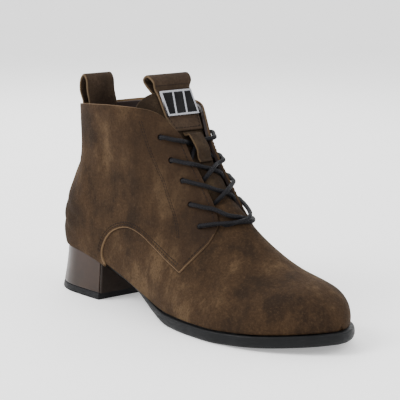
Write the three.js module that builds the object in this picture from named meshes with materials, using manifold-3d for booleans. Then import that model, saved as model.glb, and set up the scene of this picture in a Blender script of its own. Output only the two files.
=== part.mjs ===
// Heeled ankle boot, right foot: suede derby upper with lacing, zip on the inner side,
// pull loops at heel and tongue, outsole and stacked block heel.
// Millimetres. +X points to the toe, +Y to the inner (medial) side, +Z up.
// The origin is the middle of the heel's top piece, on the floor.

import * as THREE from "three";
import { mergeVertices } from "three/addons/utils/BufferGeometryUtils.js";
import Module from "manifold-3d";

const wasm = await Module();
wasm.setup();

// Driving sizes of the last
const LAST_LENGTH = 251;
const HEEL_POINT_X = -35;
const BALL_BREADTH = 88;
const SHAFT_BREADTH = 66;
const COLLAR_HEIGHT = 131;
const HEEL_HEIGHT = 33;
const SOLE_THICKNESS = 7.6;
const TOE_SPRING = 6;
const HEEL_ROUND = 30;
const TOE_ROUND = 46;
const TOE_CAP_ROUND = 30;
const SHAFT_ROUND = 46;
const FORM_RISE = 27;
const FORM_TOP = COLLAR_HEIGHT + FORM_RISE;

// Sizes of the pieces
const GAP = 0.3;
const WALL = 2.2;
const QUARTER_STEP = 1.2;
const INSOLE_THICKNESS = 2;
const INSOLE_CLEARANCE = 0.8;
const WAIST_THICKNESS = 3.6;
const TOP_PIECE_THICKNESS = 4.8;
const HEEL_BREAST_X = 20;
const HEEL_FLARE_BACK = 8;
const HEEL_FLARE_SIDE = 1.6;
const BREAST_FLAP_THICKNESS = 2.6;
const TONGUE_THICKNESS = 2.2;
const TONGUE_CLEARANCE = 0.7;
const TONGUE_FLAT_HALF = 15;
const TONGUE_LEAN = 4.5;
const TONGUE_TOP = 0.7;
const STRAP_THICKNESS = 1.8;
const STRAP_SEAT = 0.9;
const BAND_STEPS = 7;
const TONGUE_PULL_BREADTH = 28;
const TONGUE_PULL_FOOT_BREADTH = 21;
const TONGUE_PULL_END_BREADTH = 18;
const TONGUE_PULL_TOP_BREADTH = 36;
const TONGUE_PULL_RISE = 10;
const TONGUE_PULL_CLEARANCE = 2.5;
const TONGUE_PULL_END = 16;
const TONGUE_PULL_SET = -3;
const TONGUE_PULL_GAP = 10;
const BADGE_BREADTH = 26.5;
const BADGE_HEIGHT = 18;
const BADGE_THICKNESS = 1.6;
const BADGE_RIM = 1.3;
const BADGE_FLOOR = 0.6;
const BADGE_FACE = 1.4;
const BADGE_SET = 8.5;
const BADGE_BAR = 1.4;
const KEEPER_BREADTH = 11;
const KEEPER_THICKNESS = 1.3;
const KEEPER_RISE = 6.5;
const KEEPER_GAP = 1;
const KEEPER_LENGTH = 17.5;
const HEEL_PULL_BREADTH = 24;
const HEEL_PULL_RISE = 19.5;
const HEEL_PULL_DROP = 34.5;
const HEEL_PULL_END = 20;
const HEEL_PULL_GAP = 6.5;
const LACE_DIAMETER = 3.2;
const EYELET_DIAMETER = 4;
const ZIP_BREADTH = 5;
const ZIP_GROOVE_BREADTH = 7;
const ZIP_THICKNESS = 1.4;
const ZIP_DEPTH = 0.6;
const ZIP_X = 26;
const ZIP_FOOT = 46;
const SLIDER_HEIGHT = 9;
const SLIDER_BREADTH = 7;
const SLIDER_THICKNESS = 2.2;
const SLIDER_DROP = 11;
const BRIDGE_RADIUS = 0.8;
const TAB_LENGTH = 20;
const TAB_BREADTH = 5.4;
const TAB_THICKNESS = 1.4;
const TAB_EYE = 6;
const TAB_EYE_HALF = 1.6;
const BRIDGE_REACH = 2.8;
const LACE_LIFT = 0.75;
const LACE_END = 7.4;
const LACE_STEPS = 14;
const LACE_BAR_RISE = 2;

// Slanted bars of the badge: middle as a share of its breadth, half slant in mm
const BADGE_BARS = [[-0.17, 1.6], [0.17, 1.6]];

// How finely the forms are divided
const STEPS_PER_SIDE = 12;
const PROFILE_STEPS = 5;

const LATERAL = -1;
const MEDIAL = 1;

// Monotone cubic curve through a column of a table
function curve(xs, ys) {
  const h = xs.slice(1).map((x, i) => x - xs[i]);
  const slope = h.map((d, i) => (ys[i + 1] - ys[i]) / d);
  const m = xs.map((x, i) => {
    if (i === 0) return slope[0];
    if (i === h.length) return slope[i - 1];
    if (slope[i - 1] * slope[i] <= 0) return 0;
    const a = 2 * h[i] + h[i - 1];
    const b = h[i] + 2 * h[i - 1];
    return (3 * (h[i] + h[i - 1])) / (a / slope[i - 1] + b / slope[i]);
  });
  return (x) => {
    let i = h.length - 1;
    while (i > 0 && x < xs[i]) i -= 1;
    const t = Math.min(1, Math.max(0, (x - xs[i]) / h[i]));
    const rise = t * t * (3 - 2 * t);
    const start = (t ** 3 - 2 * t * t + t) * h[i] * m[i];
    const end = (t ** 3 - t * t) * h[i] * m[i + 1];
    return ys[i] * (1 - rise) + ys[i + 1] * rise + start + end;
  };
}

// Table with named columns: the first column is where each row stands
function table(names, rows) {
  const at = rows.map((row) => row[0]);
  const columns = names.slice(1).map((name, i) => [name, curve(at, rows.map((row) => row[i + 1]))]);
  return Object.fromEntries(columns);
}

const clamp = (value, low, high) => Math.min(high, Math.max(low, value));

function smooth(low, high, value) {
  const t = clamp((value - low) / (high - low), 0, 1);
  return t * t * (3 - 2 * t);
}

// Quarter of a rounded outline: 0 at t = 0, level 1 from t = 1 on
function round(t, fullness = 2) {
  return (1 - (1 - clamp(t, 0, 1)) ** fullness) ** (1 / fullness);
}

// Feather line in plan: half breadths and middle line as shares of BALL_BREADTH
const plan = table(["at", "lateral", "medial", "middle"], [
  [0.00, 0.345, 0.340, 0.000],
  [0.08, 0.350, 0.345, 0.000],
  [0.16, 0.355, 0.340, 0.000],
  [0.30, 0.350, 0.300, 0.000],
  [0.42, 0.375, 0.295, 0.000],
  [0.54, 0.440, 0.360, 0.000],
  [0.64, 0.480, 0.435, 0.000],
  [0.72, 0.485, 0.475, 0.000],
  [0.80, 0.455, 0.465, 0.010],
  [0.88, 0.395, 0.415, 0.020],
  [0.94, 0.335, 0.355, 0.030],
  [1.00, 0.270, 0.290, 0.035],
]);

// Back and sides of the shaft by height between heel seat and collar:
// back as a share of LAST_LENGTH, half breadth as a share of SHAFT_BREADTH
const shaft = table(["up", "back", "breadth"], [
  [0.00, 0.000, 0.455],
  [0.12, -0.003, 0.460],
  [0.28, -0.002, 0.457],
  [0.48, 0.017, 0.453],
  [0.66, 0.036, 0.451],
  [0.80, 0.042, 0.465],
  [1.00, 0.042, 0.490],
]);

// Instep line from the front of the shaft to the toe: height as a share of COLLAR_HEIGHT
const INSTEP_ROWS = [
  [0.384, 1.220],
  [0.424, 1.100],
  [0.457, 1.000],
  [0.495, 0.885],
  [0.534, 0.794],
  [0.570, 0.710],
  [0.610, 0.618],
  [0.645, 0.542],
  [0.705, 0.448],
  [0.757, 0.383],
  [0.809, 0.333],
  [0.873, 0.300],
  [0.924, 0.282],
  [1.000, 0.250],
];
const instep = table(["at", "height"], INSTEP_ROWS);

// Sideways lean of the instep ridge towards the big toe, as a share of BALL_BREADTH
const ridge = table(["at", "shift"], [
  [0.45, 0.000],
  [0.60, 0.010],
  [0.72, 0.040],
  [0.85, 0.060],
  [1.00, 0.030],
]);

// Cross sections from toe to collar. foot: 0 toe, 1 heel point, 2 top of the back.
// top: where the section meets the instep line. round and fullness shape its crown.
const SECTION_ROWS = [
  [0.000, 1.000, 1.00, 2.30],
  [0.006, 0.995, 1.00, 2.30],
  [0.025, 0.980, 1.00, 2.30],
  [0.060, 0.950, 1.00, 2.25],
  [0.110, 0.910, 1.00, 2.15],
  [0.180, 0.860, 1.00, 2.05],
  [0.270, 0.803, 1.00, 1.95],
  [0.370, 0.750, 0.98, 1.90],
  [0.480, 0.703, 0.92, 1.90],
  [0.600, 0.660, 0.84, 1.90],
  [0.720, 0.623, 0.75, 1.90],
  [0.830, 0.592, 0.67, 1.95],
  [0.920, 0.568, 0.61, 2.00],
  [0.975, 0.552, 0.57, 2.00],
  [1.000, 0.545, 0.56, 2.00],
  [1.040, 0.537, 0.55, 2.00],
  [1.120, 0.524, 0.53, 2.00],
  [1.280, 0.500, 0.51, 2.00],
  [1.500, 0.466, 0.49, 2.00],
  [1.750, 0.427, 0.47, 2.00],
  [2.000, 0.384, 0.46, 2.00],
];
const section = table(
  ["s", "foot", "top", "round", "fullness"],
  SECTION_ROWS.map((row, i) => [i / (SECTION_ROWS.length - 1), ...row]),
);

// Section that starts at the heel point
const HEEL_SECTION = 0.7;

const toX = (share) => HEEL_POINT_X + share * LAST_LENGTH;
const toShare = (x) => (x - HEEL_POINT_X) / LAST_LENGTH;
const toeX = toX(1);

// Height of the feather line over the floor, with arch and toe spring
const ARCH_START = 0.07;
const ARCH_END = 0.56;
const SPRING_START = 0.66;
function seat(x) {
  const t = clamp(toShare(x), 0, 1);
  const arch = (HEEL_HEIGHT - SOLE_THICKNESS) * (1 - smooth(ARCH_START, ARCH_END, t));
  const spring = TOE_SPRING * (Math.max(0, t - SPRING_START) / (1 - SPRING_START)) ** 2;
  return SOLE_THICKNESS + arch + spring;
}

const shaftUp = (z) => (z - HEEL_HEIGHT) / (COLLAR_HEIGHT - HEEL_HEIGHT);
const backX = (z) => HEEL_POINT_X + LAST_LENGTH * shaft.back(shaftUp(z));
const inLast = (x) => clamp(x, HEEL_POINT_X, toeX);

function instepHeight(share) {
  const low = seat(toX(share));
  const full = instep.height(share) * COLLAR_HEIGHT;
  return low + (full - low) * round((1 - share) * LAST_LENGTH / TOE_CAP_ROUND, 2.2);
}

// Half breadth of the last at a point of its side view.
// rise: 0 at the foot of the section, 1 on the ridge.
const FEATHER_SWELL = 2.2;
function halfBreadth(x, z, rise, s, side) {
  const height = Math.max(0, z - seat(inLast(x)));
  const columns = side === LATERAL ? plan.lateral : plan.medial;
  const swell = FEATHER_SWELL * round(height / 16) * (1 - smooth(20, 60, height));
  const low = columns(clamp(toShare(x), 0, 1)) * BALL_BREADTH + swell;
  const k = smooth(14, 70, height);
  const breadth = low * (1 - k) + shaft.breadth(Math.max(0, shaftUp(z))) * SHAFT_BREADTH * k;
  const heelRadius = HEEL_ROUND * (1 - k) + SHAFT_ROUND * k;
  const heel = round((x - backX(clamp(z, HEEL_HEIGHT, FORM_TOP))) / heelRadius, 2.2 - 0.2 * k);
  const toe = round((toeX - x) / TOE_ROUND, 2.15);
  return breadth * heel * toe * round((1 - rise) / section.round(s), section.fullness(s));
}

// Point of the last: s runs from toe to shaft top, tau from feather or back to the ridge
function lastPoint(s, tau, side) {
  const foot = section.foot(s);
  const top = section.top(s);
  const up = clamp(foot - 1, 0, 1);
  const backZ = HEEL_HEIGHT + up * (FORM_TOP - HEEL_HEIGHT);
  const footX = up > 0 ? backX(backZ) : toX(1 - clamp(foot, 0, 1));
  const footZ = up > 0 ? backZ : seat(footX);
  const w = smooth(0.7, 0.95, foot);
  const rise = (1 - w) * Math.sin(Math.PI / 2 * tau) + w * (1 - Math.cos(Math.PI * tau)) / 2;
  const x = footX + rise * (toX(top) - footX);
  const z = footZ + rise * (instepHeight(top) - footZ);
  const share = clamp(toShare(x), 0, 1);
  const middle = plan.middle(share) + ridge.shift(Math.max(0.45, share)) * rise ** 1.5;
  return new THREE.Vector3(x, middle * BALL_BREADTH + side * halfBreadth(x, z, rise, s, side), z);
}

// Outward normal of the last, level across the boot on its ridge and down its back
const STEP = 1e-3;
function lastNormal(s, tau, side) {
  if (s < STEP) return new THREE.Vector3(1, 0, 0);
  const s0 = Math.max(STEP, s - STEP);
  const s1 = Math.min(1, s + STEP);
  const t0 = Math.max(0, tau - STEP);
  const t1 = Math.min(1, tau + STEP);
  const along = lastPoint(s1, clamp(tau, STEP, 1 - STEP), side);
  along.sub(lastPoint(s0, clamp(tau, STEP, 1 - STEP), side));
  const across = lastPoint(s, t1, side).sub(lastPoint(s, t0, side));
  const n = along.cross(across).multiplyScalar(side);
  if (tau >= 1 - STEP || (tau <= STEP && s >= HEEL_SECTION - STEP)) n.y = 0;
  return n.normalize();
}

function grownPoint(s, tau, side, grow) {
  return lastPoint(s, tau, side).addScaledVector(lastNormal(s, tau, side), grow);
}

// Closed body through rings of equal length; opposite ends of a ring pair up in its caps
function loft(rings) {
  const count = rings[0].length;
  const positions = rings.flat().flatMap((p) => [p.x, p.y, p.z]);
  const index = [];
  const quad = (a, b, c, d) => index.push(a, b, c, a, c, d);
  for (let i = 0; i + 1 < rings.length; i += 1) {
    for (let j = 0; j < count; j += 1) {
      const k = (j + 1) % count;
      quad(i * count + j, i * count + k, (i + 1) * count + k, (i + 1) * count + j);
    }
  }
  const last = (rings.length - 1) * count;
  for (let j = 0; j + 1 < count / 2; j += 1) {
    const far = count - 1 - j;
    quad(j, far, far - 1, j + 1);
    quad(last + j, last + j + 1, last + far - 1, last + far);
  }
  const geometry = new THREE.BufferGeometry();
  geometry.setAttribute("position", new THREE.Float32BufferAttribute(positions, 3));
  geometry.setIndex(index);
  return solid(geometry);
}

function signedVolume(position, triangles) {
  const [a, b, c] = [new THREE.Vector3(), new THREE.Vector3(), new THREE.Vector3()];
  let sum = 0;
  for (let i = 0; i < triangles.length; i += 3) {
    a.fromBufferAttribute(position, triangles[i]);
    b.fromBufferAttribute(position, triangles[i + 1]);
    c.fromBufferAttribute(position, triangles[i + 2]);
    sum += a.dot(b.cross(c));
  }
  return sum;
}

// Solid from a closed geometry: shared vertices merged, flat triangles dropped, faces outward
function solid(geometry) {
  geometry.deleteAttribute("normal");
  geometry.deleteAttribute("uv");
  const merged = mergeVertices(geometry, 1e-4);
  const source = merged.index.array;
  const triangles = [];
  for (let i = 0; i < source.length; i += 3) {
    const [a, b, c] = [source[i], source[i + 1], source[i + 2]];
    if (a !== b && b !== c && c !== a) triangles.push(a, b, c);
  }
  const position = merged.attributes.position;
  if (signedVolume(position, triangles) < 0) triangles.reverse();
  const mesh = new wasm.Mesh({
    numProp: 3,
    vertProperties: Float32Array.from(position.array),
    triVerts: Uint32Array.from(triangles),
  });
  return new wasm.Manifold(mesh);
}

function toMesh(name, body, material) {
  const { vertProperties, triVerts } = body.getMesh();
  const geometry = new THREE.BufferGeometry();
  geometry.setAttribute("position", new THREE.BufferAttribute(Float32Array.from(vertProperties), 3));
  geometry.setIndex(new THREE.BufferAttribute(Uint32Array.from(triVerts), 1));
  geometry.computeVertexNormals();
  const mesh = new THREE.Mesh(geometry, material);
  mesh.name = name;
  return mesh;
}

// Body that runs across the boot, from an outline in its side view
function prism(outline, low, high) {
  const geometry = new THREE.ExtrudeGeometry(outline, {
    depth: high - low,
    bevelEnabled: false,
    curveSegments: PROFILE_STEPS,
  });
  geometry.rotateX(Math.PI / 2);
  geometry.translate(0, high, 0);
  return solid(geometry);
}

const ramp = (count, low = 0, high = 1) =>
  Array.from({ length: count }, (_, i) => low + (high - low) * i / (count - 1));

// Where the forms have a ring: closer together round the heel
const FORM_SECTIONS = [
  ...ramp(10, 0.05, 0.5),
  ...ramp(6, 0.525, 0.65),
  ...[0.67, 0.684, 0.693, HEEL_SECTION, 0.72, 0.75],
  ...[0.8, 0.85, 0.88, 0.91, 0.935, 0.96, 1],
];

// Whole last grown or shrunk by an even amount
function form(grow, drop = 0) {
  const steps = ramp(STEPS_PER_SIDE + 1);
  const nose = lastPoint(FORM_SECTIONS[0], 0.5, LATERAL);
  nose.set(toeX + grow, plan.middle(1) * BALL_BREADTH, nose.z);
  const rings = FORM_SECTIONS.map((s) => {
    const sides = [LATERAL, MEDIAL].map((side) => steps.map((tau) => {
      const p = grownPoint(s, tau, side, grow);
      if (tau === 0 && s <= HEEL_SECTION) p.z = seat(p.x) - drop;
      return p;
    }));
    return [...sides[0], ...sides[1].reverse()];
  });
  return loft([rings[0].map(() => nose.clone()), ...rings]);
}

// Outlines of the upper in its side view, x as shares of LAST_LENGTH and
// heights as shares of COLLAR_HEIGHT
const sideView = (rows) => rows.map(([x, z]) => new THREE.Vector2(toX(x), z * COLLAR_HEIGHT));

const COLLAR_LINE = sideView([
  [0.041, 0.990],
  [0.114, 1.013],
  [0.200, 1.031],
  [0.300, 1.042],
  [0.350, 1.040],
  [0.395, 1.027],
  [0.424, 0.995],
  [0.444, 0.955],
  [0.462, 0.920],
]);
const FACING_LINE = sideView([
  [0.462, 0.920],
  [0.487, 0.854],
  [0.512, 0.786],
  [0.547, 0.705],
  [0.577, 0.630],
  [0.600, 0.570],
  [0.620, 0.508],
  [0.627, 0.470],
]);
const QUARTER_FRONT = sideView([
  [0.617, 0.398],
  [0.578, 0.274],
]);
const LOWER_SEAM = sideView([
  [0.578, 0.274],
  [0.514, 0.315],
  [0.444, 0.369],
  [0.399, 0.405],
  [0.346, 0.425],
  [0.301, 0.406],
  [0.269, 0.366],
  [0.245, 0.295],
  [0.240, 0.249],
  [0.249, 0.170],
]);
const OUTSIDE = 60;
const THROAT_DEPTH = 5;
const THROAT_RISE = 16;
const THROAT_STEPS = 10;

function quarterOutline() {
  const outline = new THREE.Shape();
  const corner = FACING_LINE.at(-1);
  outline.moveTo(HEEL_POINT_X - OUTSIDE, COLLAR_HEIGHT + OUTSIDE);
  outline.lineTo(corner.x + OUTSIDE / 2, COLLAR_HEIGHT + OUTSIDE);
  outline.lineTo(corner.x, corner.y);
  QUARTER_FRONT.forEach((p) => outline.lineTo(p.x, p.y));
  outline.splineThru(LOWER_SEAM.slice(1));
  outline.lineTo(LOWER_SEAM.at(-1).x, -OUTSIDE);
  outline.lineTo(HEEL_POINT_X - OUTSIDE, -OUTSIDE);
  return outline;
}

// What is cut away above the collar
function collarOutline() {
  const outline = new THREE.Shape();
  const end = COLLAR_LINE.at(-1);
  outline.moveTo(HEEL_POINT_X - OUTSIDE, COLLAR_LINE[0].y);
  outline.lineTo(COLLAR_LINE[0].x, COLLAR_LINE[0].y);
  outline.splineThru(COLLAR_LINE.slice(1));
  outline.lineTo(end.x + OUTSIDE, end.y);
  outline.lineTo(end.x + OUTSIDE, COLLAR_HEIGHT + OUTSIDE);
  outline.lineTo(HEEL_POINT_X - OUTSIDE, COLLAR_HEIGHT + OUTSIDE);
  return outline;
}

// Throat between the facings, its sides square to the wall
function makeThroat() {
  const line = new THREE.SplineCurve(FACING_LINE).getPoints(THROAT_STEPS);
  return loft(line.map(({ x, y: z }) => {
    const edges = [LATERAL, MEDIAL].map((side) =>
      [-THROAT_DEPTH, THROAT_RISE].map((grow) => sidePoint(x, z, side, grow)));
    return [...edges[0], ...edges[1].reverse()];
  }));
}

function makeUpper() {
  const half = BALL_BREADTH;
  const vamp = form(0);
  const quarters = form(QUARTER_STEP).intersect(prism(quarterOutline(), -half, half));
  const inside = form(-WALL, 4);
  const collar = prism(collarOutline(), -half, half);
  const cutters = [inside, collar, makeThroat(), zipGroove(), ...eyeletHoles()];
  return cutters.reduce((body, cutter) => body.subtract(cutter), vamp.add(quarters));
}

// Side view point on the last: finds s and tau by Newton steps from the nearest grid point
function onLast(x, z, side) {
  let best = [0, 0, Infinity];
  for (const s of ramp(60, 0.02, 1)) {
    for (const tau of ramp(40)) {
      const p = lastPoint(s, tau, side);
      const d = (p.x - x) ** 2 + (p.z - z) ** 2;
      if (d < best[2]) best = [s, tau, d];
    }
  }
  let [s, tau] = best;
  for (let i = 0; i < 12; i += 1) {
    const p = lastPoint(s, tau, side);
    const ps = lastPoint(s + STEP / 10, tau, side).sub(p).multiplyScalar(10 / STEP);
    const pt = lastPoint(s, tau + STEP / 10, side).sub(p).multiplyScalar(10 / STEP);
    const det = ps.x * pt.z - pt.x * ps.z;
    const [dx, dz] = [x - p.x, z - p.z];
    s = clamp(s + clamp((pt.z * dx - pt.x * dz) / det, -0.05, 0.05), STEP, 1 - STEP);
    tau = clamp(tau + clamp((ps.x * dz - ps.z * dx) / det, -0.05, 0.05), STEP, 1 - STEP);
  }
  return { s, tau };
}

function sidePoint(x, z, side, grow) {
  const { s, tau } = onLast(x, z, side);
  return grownPoint(s, tau, side, grow);
}

function insetFeather(share, side, inset) {
  const x = clamp(toX(share), HEEL_POINT_X, toeX);
  const at = (value) => {
    const t = clamp(value, 0, 1);
    const ends = round(t * LAST_LENGTH / HEEL_ROUND, 2.2)
      * round((1 - t) * LAST_LENGTH / TOE_ROUND, 2.15);
    const columns = side === LATERAL ? plan.lateral : plan.medial;
    const y = plan.middle(t) * BALL_BREADTH + side * columns(t) * BALL_BREADTH * ends;
    return new THREE.Vector2(toX(t), y);
  };
  if (share <= 0) return new THREE.Vector3(x + inset, at(0).y, 0);
  if (share >= 1) return new THREE.Vector3(x - inset, at(1).y, 0);
  const run = at(share + STEP).sub(at(share - STEP)).normalize();
  const p = at(share);
  return new THREE.Vector3(p.x + side * run.y * inset, p.y - side * run.x * inset, 0);
}

// Plate under the foot: rings across the boot between two shares of its length
function plate(shares, inset, profile) {
  return loft(shares.map((share) => {
    const steps = profile(share);
    const sides = [LATERAL, MEDIAL].map((side) => steps.map(([out, up]) => {
      const p = insetFeather(share, side, inset(share) - out);
      return new THREE.Vector3(p.x, p.y, up(p.x));
    }));
    return [...sides[0], ...sides[1].reverse()];
  }));
}

const END_SHARES = [0, 0.004, 0.015, 0.035, 0.065, 0.1];
const footShares = [
  ...END_SHARES,
  ...ramp(11, 0.15, 0.85),
  ...END_SHARES.map((share) => 1 - share).reverse(),
];

function makeInsole() {
  const inset = () => WALL + INSOLE_CLEARANCE;
  const profile = () => [
    [0, (x) => seat(x)],
    [0, (x) => seat(x) + INSOLE_THICKNESS],
  ];
  return plate(footShares, inset, profile);
}

// Outsole edge beyond the feather line, in mm, and its thickness, by length share
const soleEdge = table(["at", "beyond", "thick"], [
  [0.20, -4.0, 0],
  [0.34, -4.0, 0],
  [0.46, 0.5, 0.45],
  [0.56, 2.4, 1],
  [0.80, 2.8, 1],
  [1.00, 3.6, 1],
]);

function makeOutsole() {
  const start = toShare(HEEL_BREAST_X + GAP + BREAST_FLAP_THICKNESS / 2);
  const shares = [
    ...ramp(5, start, 0.44),
    ...[0.5, 0.56, 0.62, 0.66, 0.72, 0.78, 0.84],
    ...END_SHARES.map((share) => 1 - share).reverse(),
  ];
  const inset = (share) => -soleEdge.beyond(share);
  const profile = (share) => {
    const k = soleEdge.thick(share);
    const thick = WAIST_THICKNESS * (1 - k) + SOLE_THICKNESS * k;
    const bottom = (x) => seat(x) - thick;
    const rise = thick - GAP;
    return [
      [-2.4 * k - 0.6, bottom],
      [-0.7, (x) => bottom(x) + rise * 0.16],
      [0, (x) => bottom(x) + rise * 0.48],
      [-0.2, (x) => bottom(x) + rise * 0.86],
      [-0.9, (x) => bottom(x) + rise],
    ];
  };
  const flapOutline = new THREE.Shape();
  const flapFoot = TOP_PIECE_THICKNESS + GAP;
  const flapFront = HEEL_BREAST_X + GAP + BREAST_FLAP_THICKNESS;
  flapOutline.moveTo(HEEL_BREAST_X + GAP, flapFoot);
  flapOutline.lineTo(flapFront, flapFoot);
  flapOutline.lineTo(flapFront, seat(flapFront) - WAIST_THICKNESS);
  flapOutline.lineTo(flapFront + 3, seat(flapFront) - WAIST_THICKNESS + 0.4);
  flapOutline.lineTo(HEEL_BREAST_X + GAP, seat(HEEL_BREAST_X) - GAP * 4);
  const flap = prism(flapOutline, -heelHalf(MEDIAL, 0.5), heelHalf(LATERAL, 0.5));
  return plate(shares, inset, profile).add(flap);
}

// Heel outline by height: 0 at the seat, 1 on the floor
const heelFlare = (down) => down ** 1.5;
function heelPoint(share, side, down, z) {
  const breast = toShare(HEEL_BREAST_X);
  const p = insetFeather(share * breast, side, 0);
  const back = HEEL_FLARE_BACK * heelFlare(down) * (1 - share);
  const out = HEEL_FLARE_SIDE * heelFlare(down);
  const room = (HEEL_BREAST_X - HEEL_POINT_X + back) / (HEEL_BREAST_X - HEEL_POINT_X);
  const x = HEEL_BREAST_X - (HEEL_BREAST_X - p.x) * room;
  const width = Math.abs(p.y);
  return new THREE.Vector3(x, side * (width + out * Math.min(1, width / HEEL_ROUND)), z(x));
}

const heelHalf = (side, down) => Math.abs(heelPoint(1, side, down, () => 0).y) - 1;
const HEEL_SHARES = [0, 0.012, 0.05, 0.12, 0.22, 0.34, ...ramp(7, 0.46, 1)];

function heelRing(down, z) {
  const sides = [LATERAL, MEDIAL].map((side) => HEEL_SHARES.map((share) => heelPoint(share, side, down, z)));
  return [...sides[0], ...sides[1].reverse()];
}

function makeHeelBlock() {
  const foot = TOP_PIECE_THICKNESS + GAP;
  const levels = [0, 0.2, 0.45, 0.7, 1];
  return loft(levels.map((level) => {
    const z = (x) => (seat(x) - GAP) * (1 - level) + foot * level;
    return heelRing(level * (1 - foot / HEEL_HEIGHT), z);
  }));
}

function makeTopPiece() {
  const top = 1 - TOP_PIECE_THICKNESS / HEEL_HEIGHT;
  return loft([heelRing(1, () => 0), heelRing(top, () => TOP_PIECE_THICKNESS)]);
}

// Holes punched through both facings, a row for each: places in the side view as shares
const EYELETS = sideView([
  [0.4245, 0.901],
  [0.460, 0.792],
  [0.500, 0.697],
  [0.5365, 0.588],
  [0.579, 0.491],
]);

// Heights of the strap over the top eyelets, the badge on it and the keeper below it
const TONGUE_PULL_FOOT = EYELETS[0].y + TONGUE_PULL_CLEARANCE;
const BADGE_FOOT = TONGUE_PULL_FOOT + BADGE_SET;
const TONGUE_CREST = BADGE_FOOT + BADGE_HEIGHT;
const TONGUE_PULL_TOP = TONGUE_CREST + TONGUE_PULL_RISE;
const KEEPER_FOOT = TONGUE_PULL_FOOT - KEEPER_GAP - KEEPER_LENGTH;

// Tongue: the last's front, shrunk to lie under the facings, flattened and leaning back
const TONGUE_FOOT = 0.655;
const TONGUE_EDGE = 0.27;
const TONGUE_WIDEN = 0.07;
const sectionAt = (top) => {
  let [low, high] = [0, 1];
  for (let i = 0; i < 40; i += 1) {
    const middle = (low + high) / 2;
    if (section.top(middle) > top) low = middle;
    else high = middle;
  }
  return low;
};
const tongueStart = sectionAt(TONGUE_FOOT);
const FLAT_LOW = 0.70 * COLLAR_HEIGHT;
const FLAT_HIGH = 0.92 * COLLAR_HEIGHT;
const LEAN_LOW = 0.885 * COLLAR_HEIGHT;
const LEAN_HIGH = 1.01 * COLLAR_HEIGHT;

function tonguePoint(s, tau, side, depth) {
  const p = grownPoint(s, tau, side, -depth);
  const nose = grownPoint(s, 1, side, -depth);
  const flatAt = grownPoint(s, tauAt(s, TONGUE_FLAT_HALF, side), side, -depth);
  const flat = smooth(FLAT_LOW, FLAT_HIGH, nose.z);
  const lean = TONGUE_LEAN * smooth(LEAN_LOW, LEAN_HIGH, nose.z);
  const room = nose.x - flatAt.x;
  p.x += flat * (Math.min(nose.x - p.x, room) - room) - lean;
  return p;
}

// Section at which the middle line of the tongue reaches a height
function tongueSection(z) {
  let [low, high] = [tongueStart, 1];
  for (let i = 0; i < 30; i += 1) {
    const middle = (low + high) / 2;
    if (tonguePoint(middle, 1, MEDIAL, TONGUE_FRONT).z < z) low = middle;
    else high = middle;
  }
  return low;
}

// Where a section is a given distance from the middle plane, near the ridge
function tauAt(s, y, side) {
  let [low, high] = [0.5, 1];
  for (let i = 0; i < 24; i += 1) {
    const middle = (low + high) / 2;
    if (Math.abs(lastPoint(s, middle, side).y) > y) low = middle;
    else high = middle;
  }
  return high;
}

const TONGUE_FRONT = WALL + TONGUE_CLEARANCE;
const tongueEnd = tongueSection(TONGUE_CREST + TONGUE_TOP);

function makeTongue() {
  const across = ramp(17, -1, 1);
  const depths = [TONGUE_FRONT, TONGUE_FRONT + TONGUE_THICKNESS];
  return loft(ramp(16).map((k) => {
    const layers = depths.map((depth) => across.map((v) => {
      const s = tongueStart + (tongueEnd - tongueStart) * k * (1 - 0.25 * v * v);
      const tau = 1 - (TONGUE_EDGE + TONGUE_WIDEN * k * k) * Math.abs(v);
      return tonguePoint(s, tau, v < 0 ? LATERAL : MEDIAL, depth);
    }));
    return [...layers[0], ...layers[1].reverse()];
  }));
}

function zipGroove() {
  return zipStrip(ZIP_GROOVE_BREADTH, -ZIP_DEPTH, 6, ZIP_FOOT - 1.5, FORM_TOP - 10);
}

function makeZipChain() {
  const low = GAP - ZIP_DEPTH;
  return zipStrip(ZIP_BREADTH, low, low + ZIP_THICKNESS, ZIP_FOOT, SLIDER_Z + SLIDER_DROP - 3);
}

// Strip down the inner side, between two distances from the last
function zipStrip(breadth, low, high, foot, top) {
  return loft(ramp(10, foot, top).map((z) => {
    const edges = [low, high].map((grow) => [-0.5, 0.5].map((k) =>
      sidePoint(ZIP_X + k * breadth, z, MEDIAL, grow)));
    return [edges[0][0], edges[0][1], edges[1][1], edges[1][0]];
  }));
}

// Place on the last seen in the side view, with its outward direction
function seatOn(x, z, side) {
  const { s, tau } = onLast(x, z, side);
  return { s, tau, point: lastPoint(s, tau, side), normal: lastNormal(s, tau, side) };
}

function eyeletHoles() {
  return EYELETS.flatMap(({ x, y: z }) => [LATERAL, MEDIAL].map((side) => {
    const { point, normal } = seatOn(x, z, side);
    const geometry = new THREE.CylinderGeometry(EYELET_DIAMETER / 2, EYELET_DIAMETER / 2, 10, 10);
    const turn = new THREE.Quaternion().setFromUnitVectors(new THREE.Vector3(0, 1, 0), normal);
    geometry.applyQuaternion(turn);
    geometry.translate(point.x, point.y, point.z);
    return solid(geometry);
  }));
}

// Band along stops in the side view, each with its own breadth.
// bow: how far the edges fall away from the middle, as on the rounded boot under them.
function band(stops, thickness, bow = () => 0) {
  const path = stops.map(([x, z]) => new THREE.Vector2(x, z));
  return loft(stops.map(([x, z, breadth, bent = 0], i) => {
    const from = path[Math.max(i - 1, 0)];
    const run = path[Math.min(i + 1, path.length - 1)].clone().sub(from).normalize();
    const across = ramp(BAND_STEPS, -breadth / 2, breadth / 2);
    const layer = (out) => across.map((y) => new THREE.Vector3(
      x + run.y * out * thickness / 2 + bent * bow(y, z), y, z - run.x * out * thickness / 2));
    return [...layer(1), ...layer(-1).reverse()];
  }));
}

// Rounded path through a few places in the side view
const bend = (places, count) =>
  new THREE.SplineCurve(places.map(([x, z]) => new THREE.Vector2(x, z))).getPoints(count);

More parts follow.
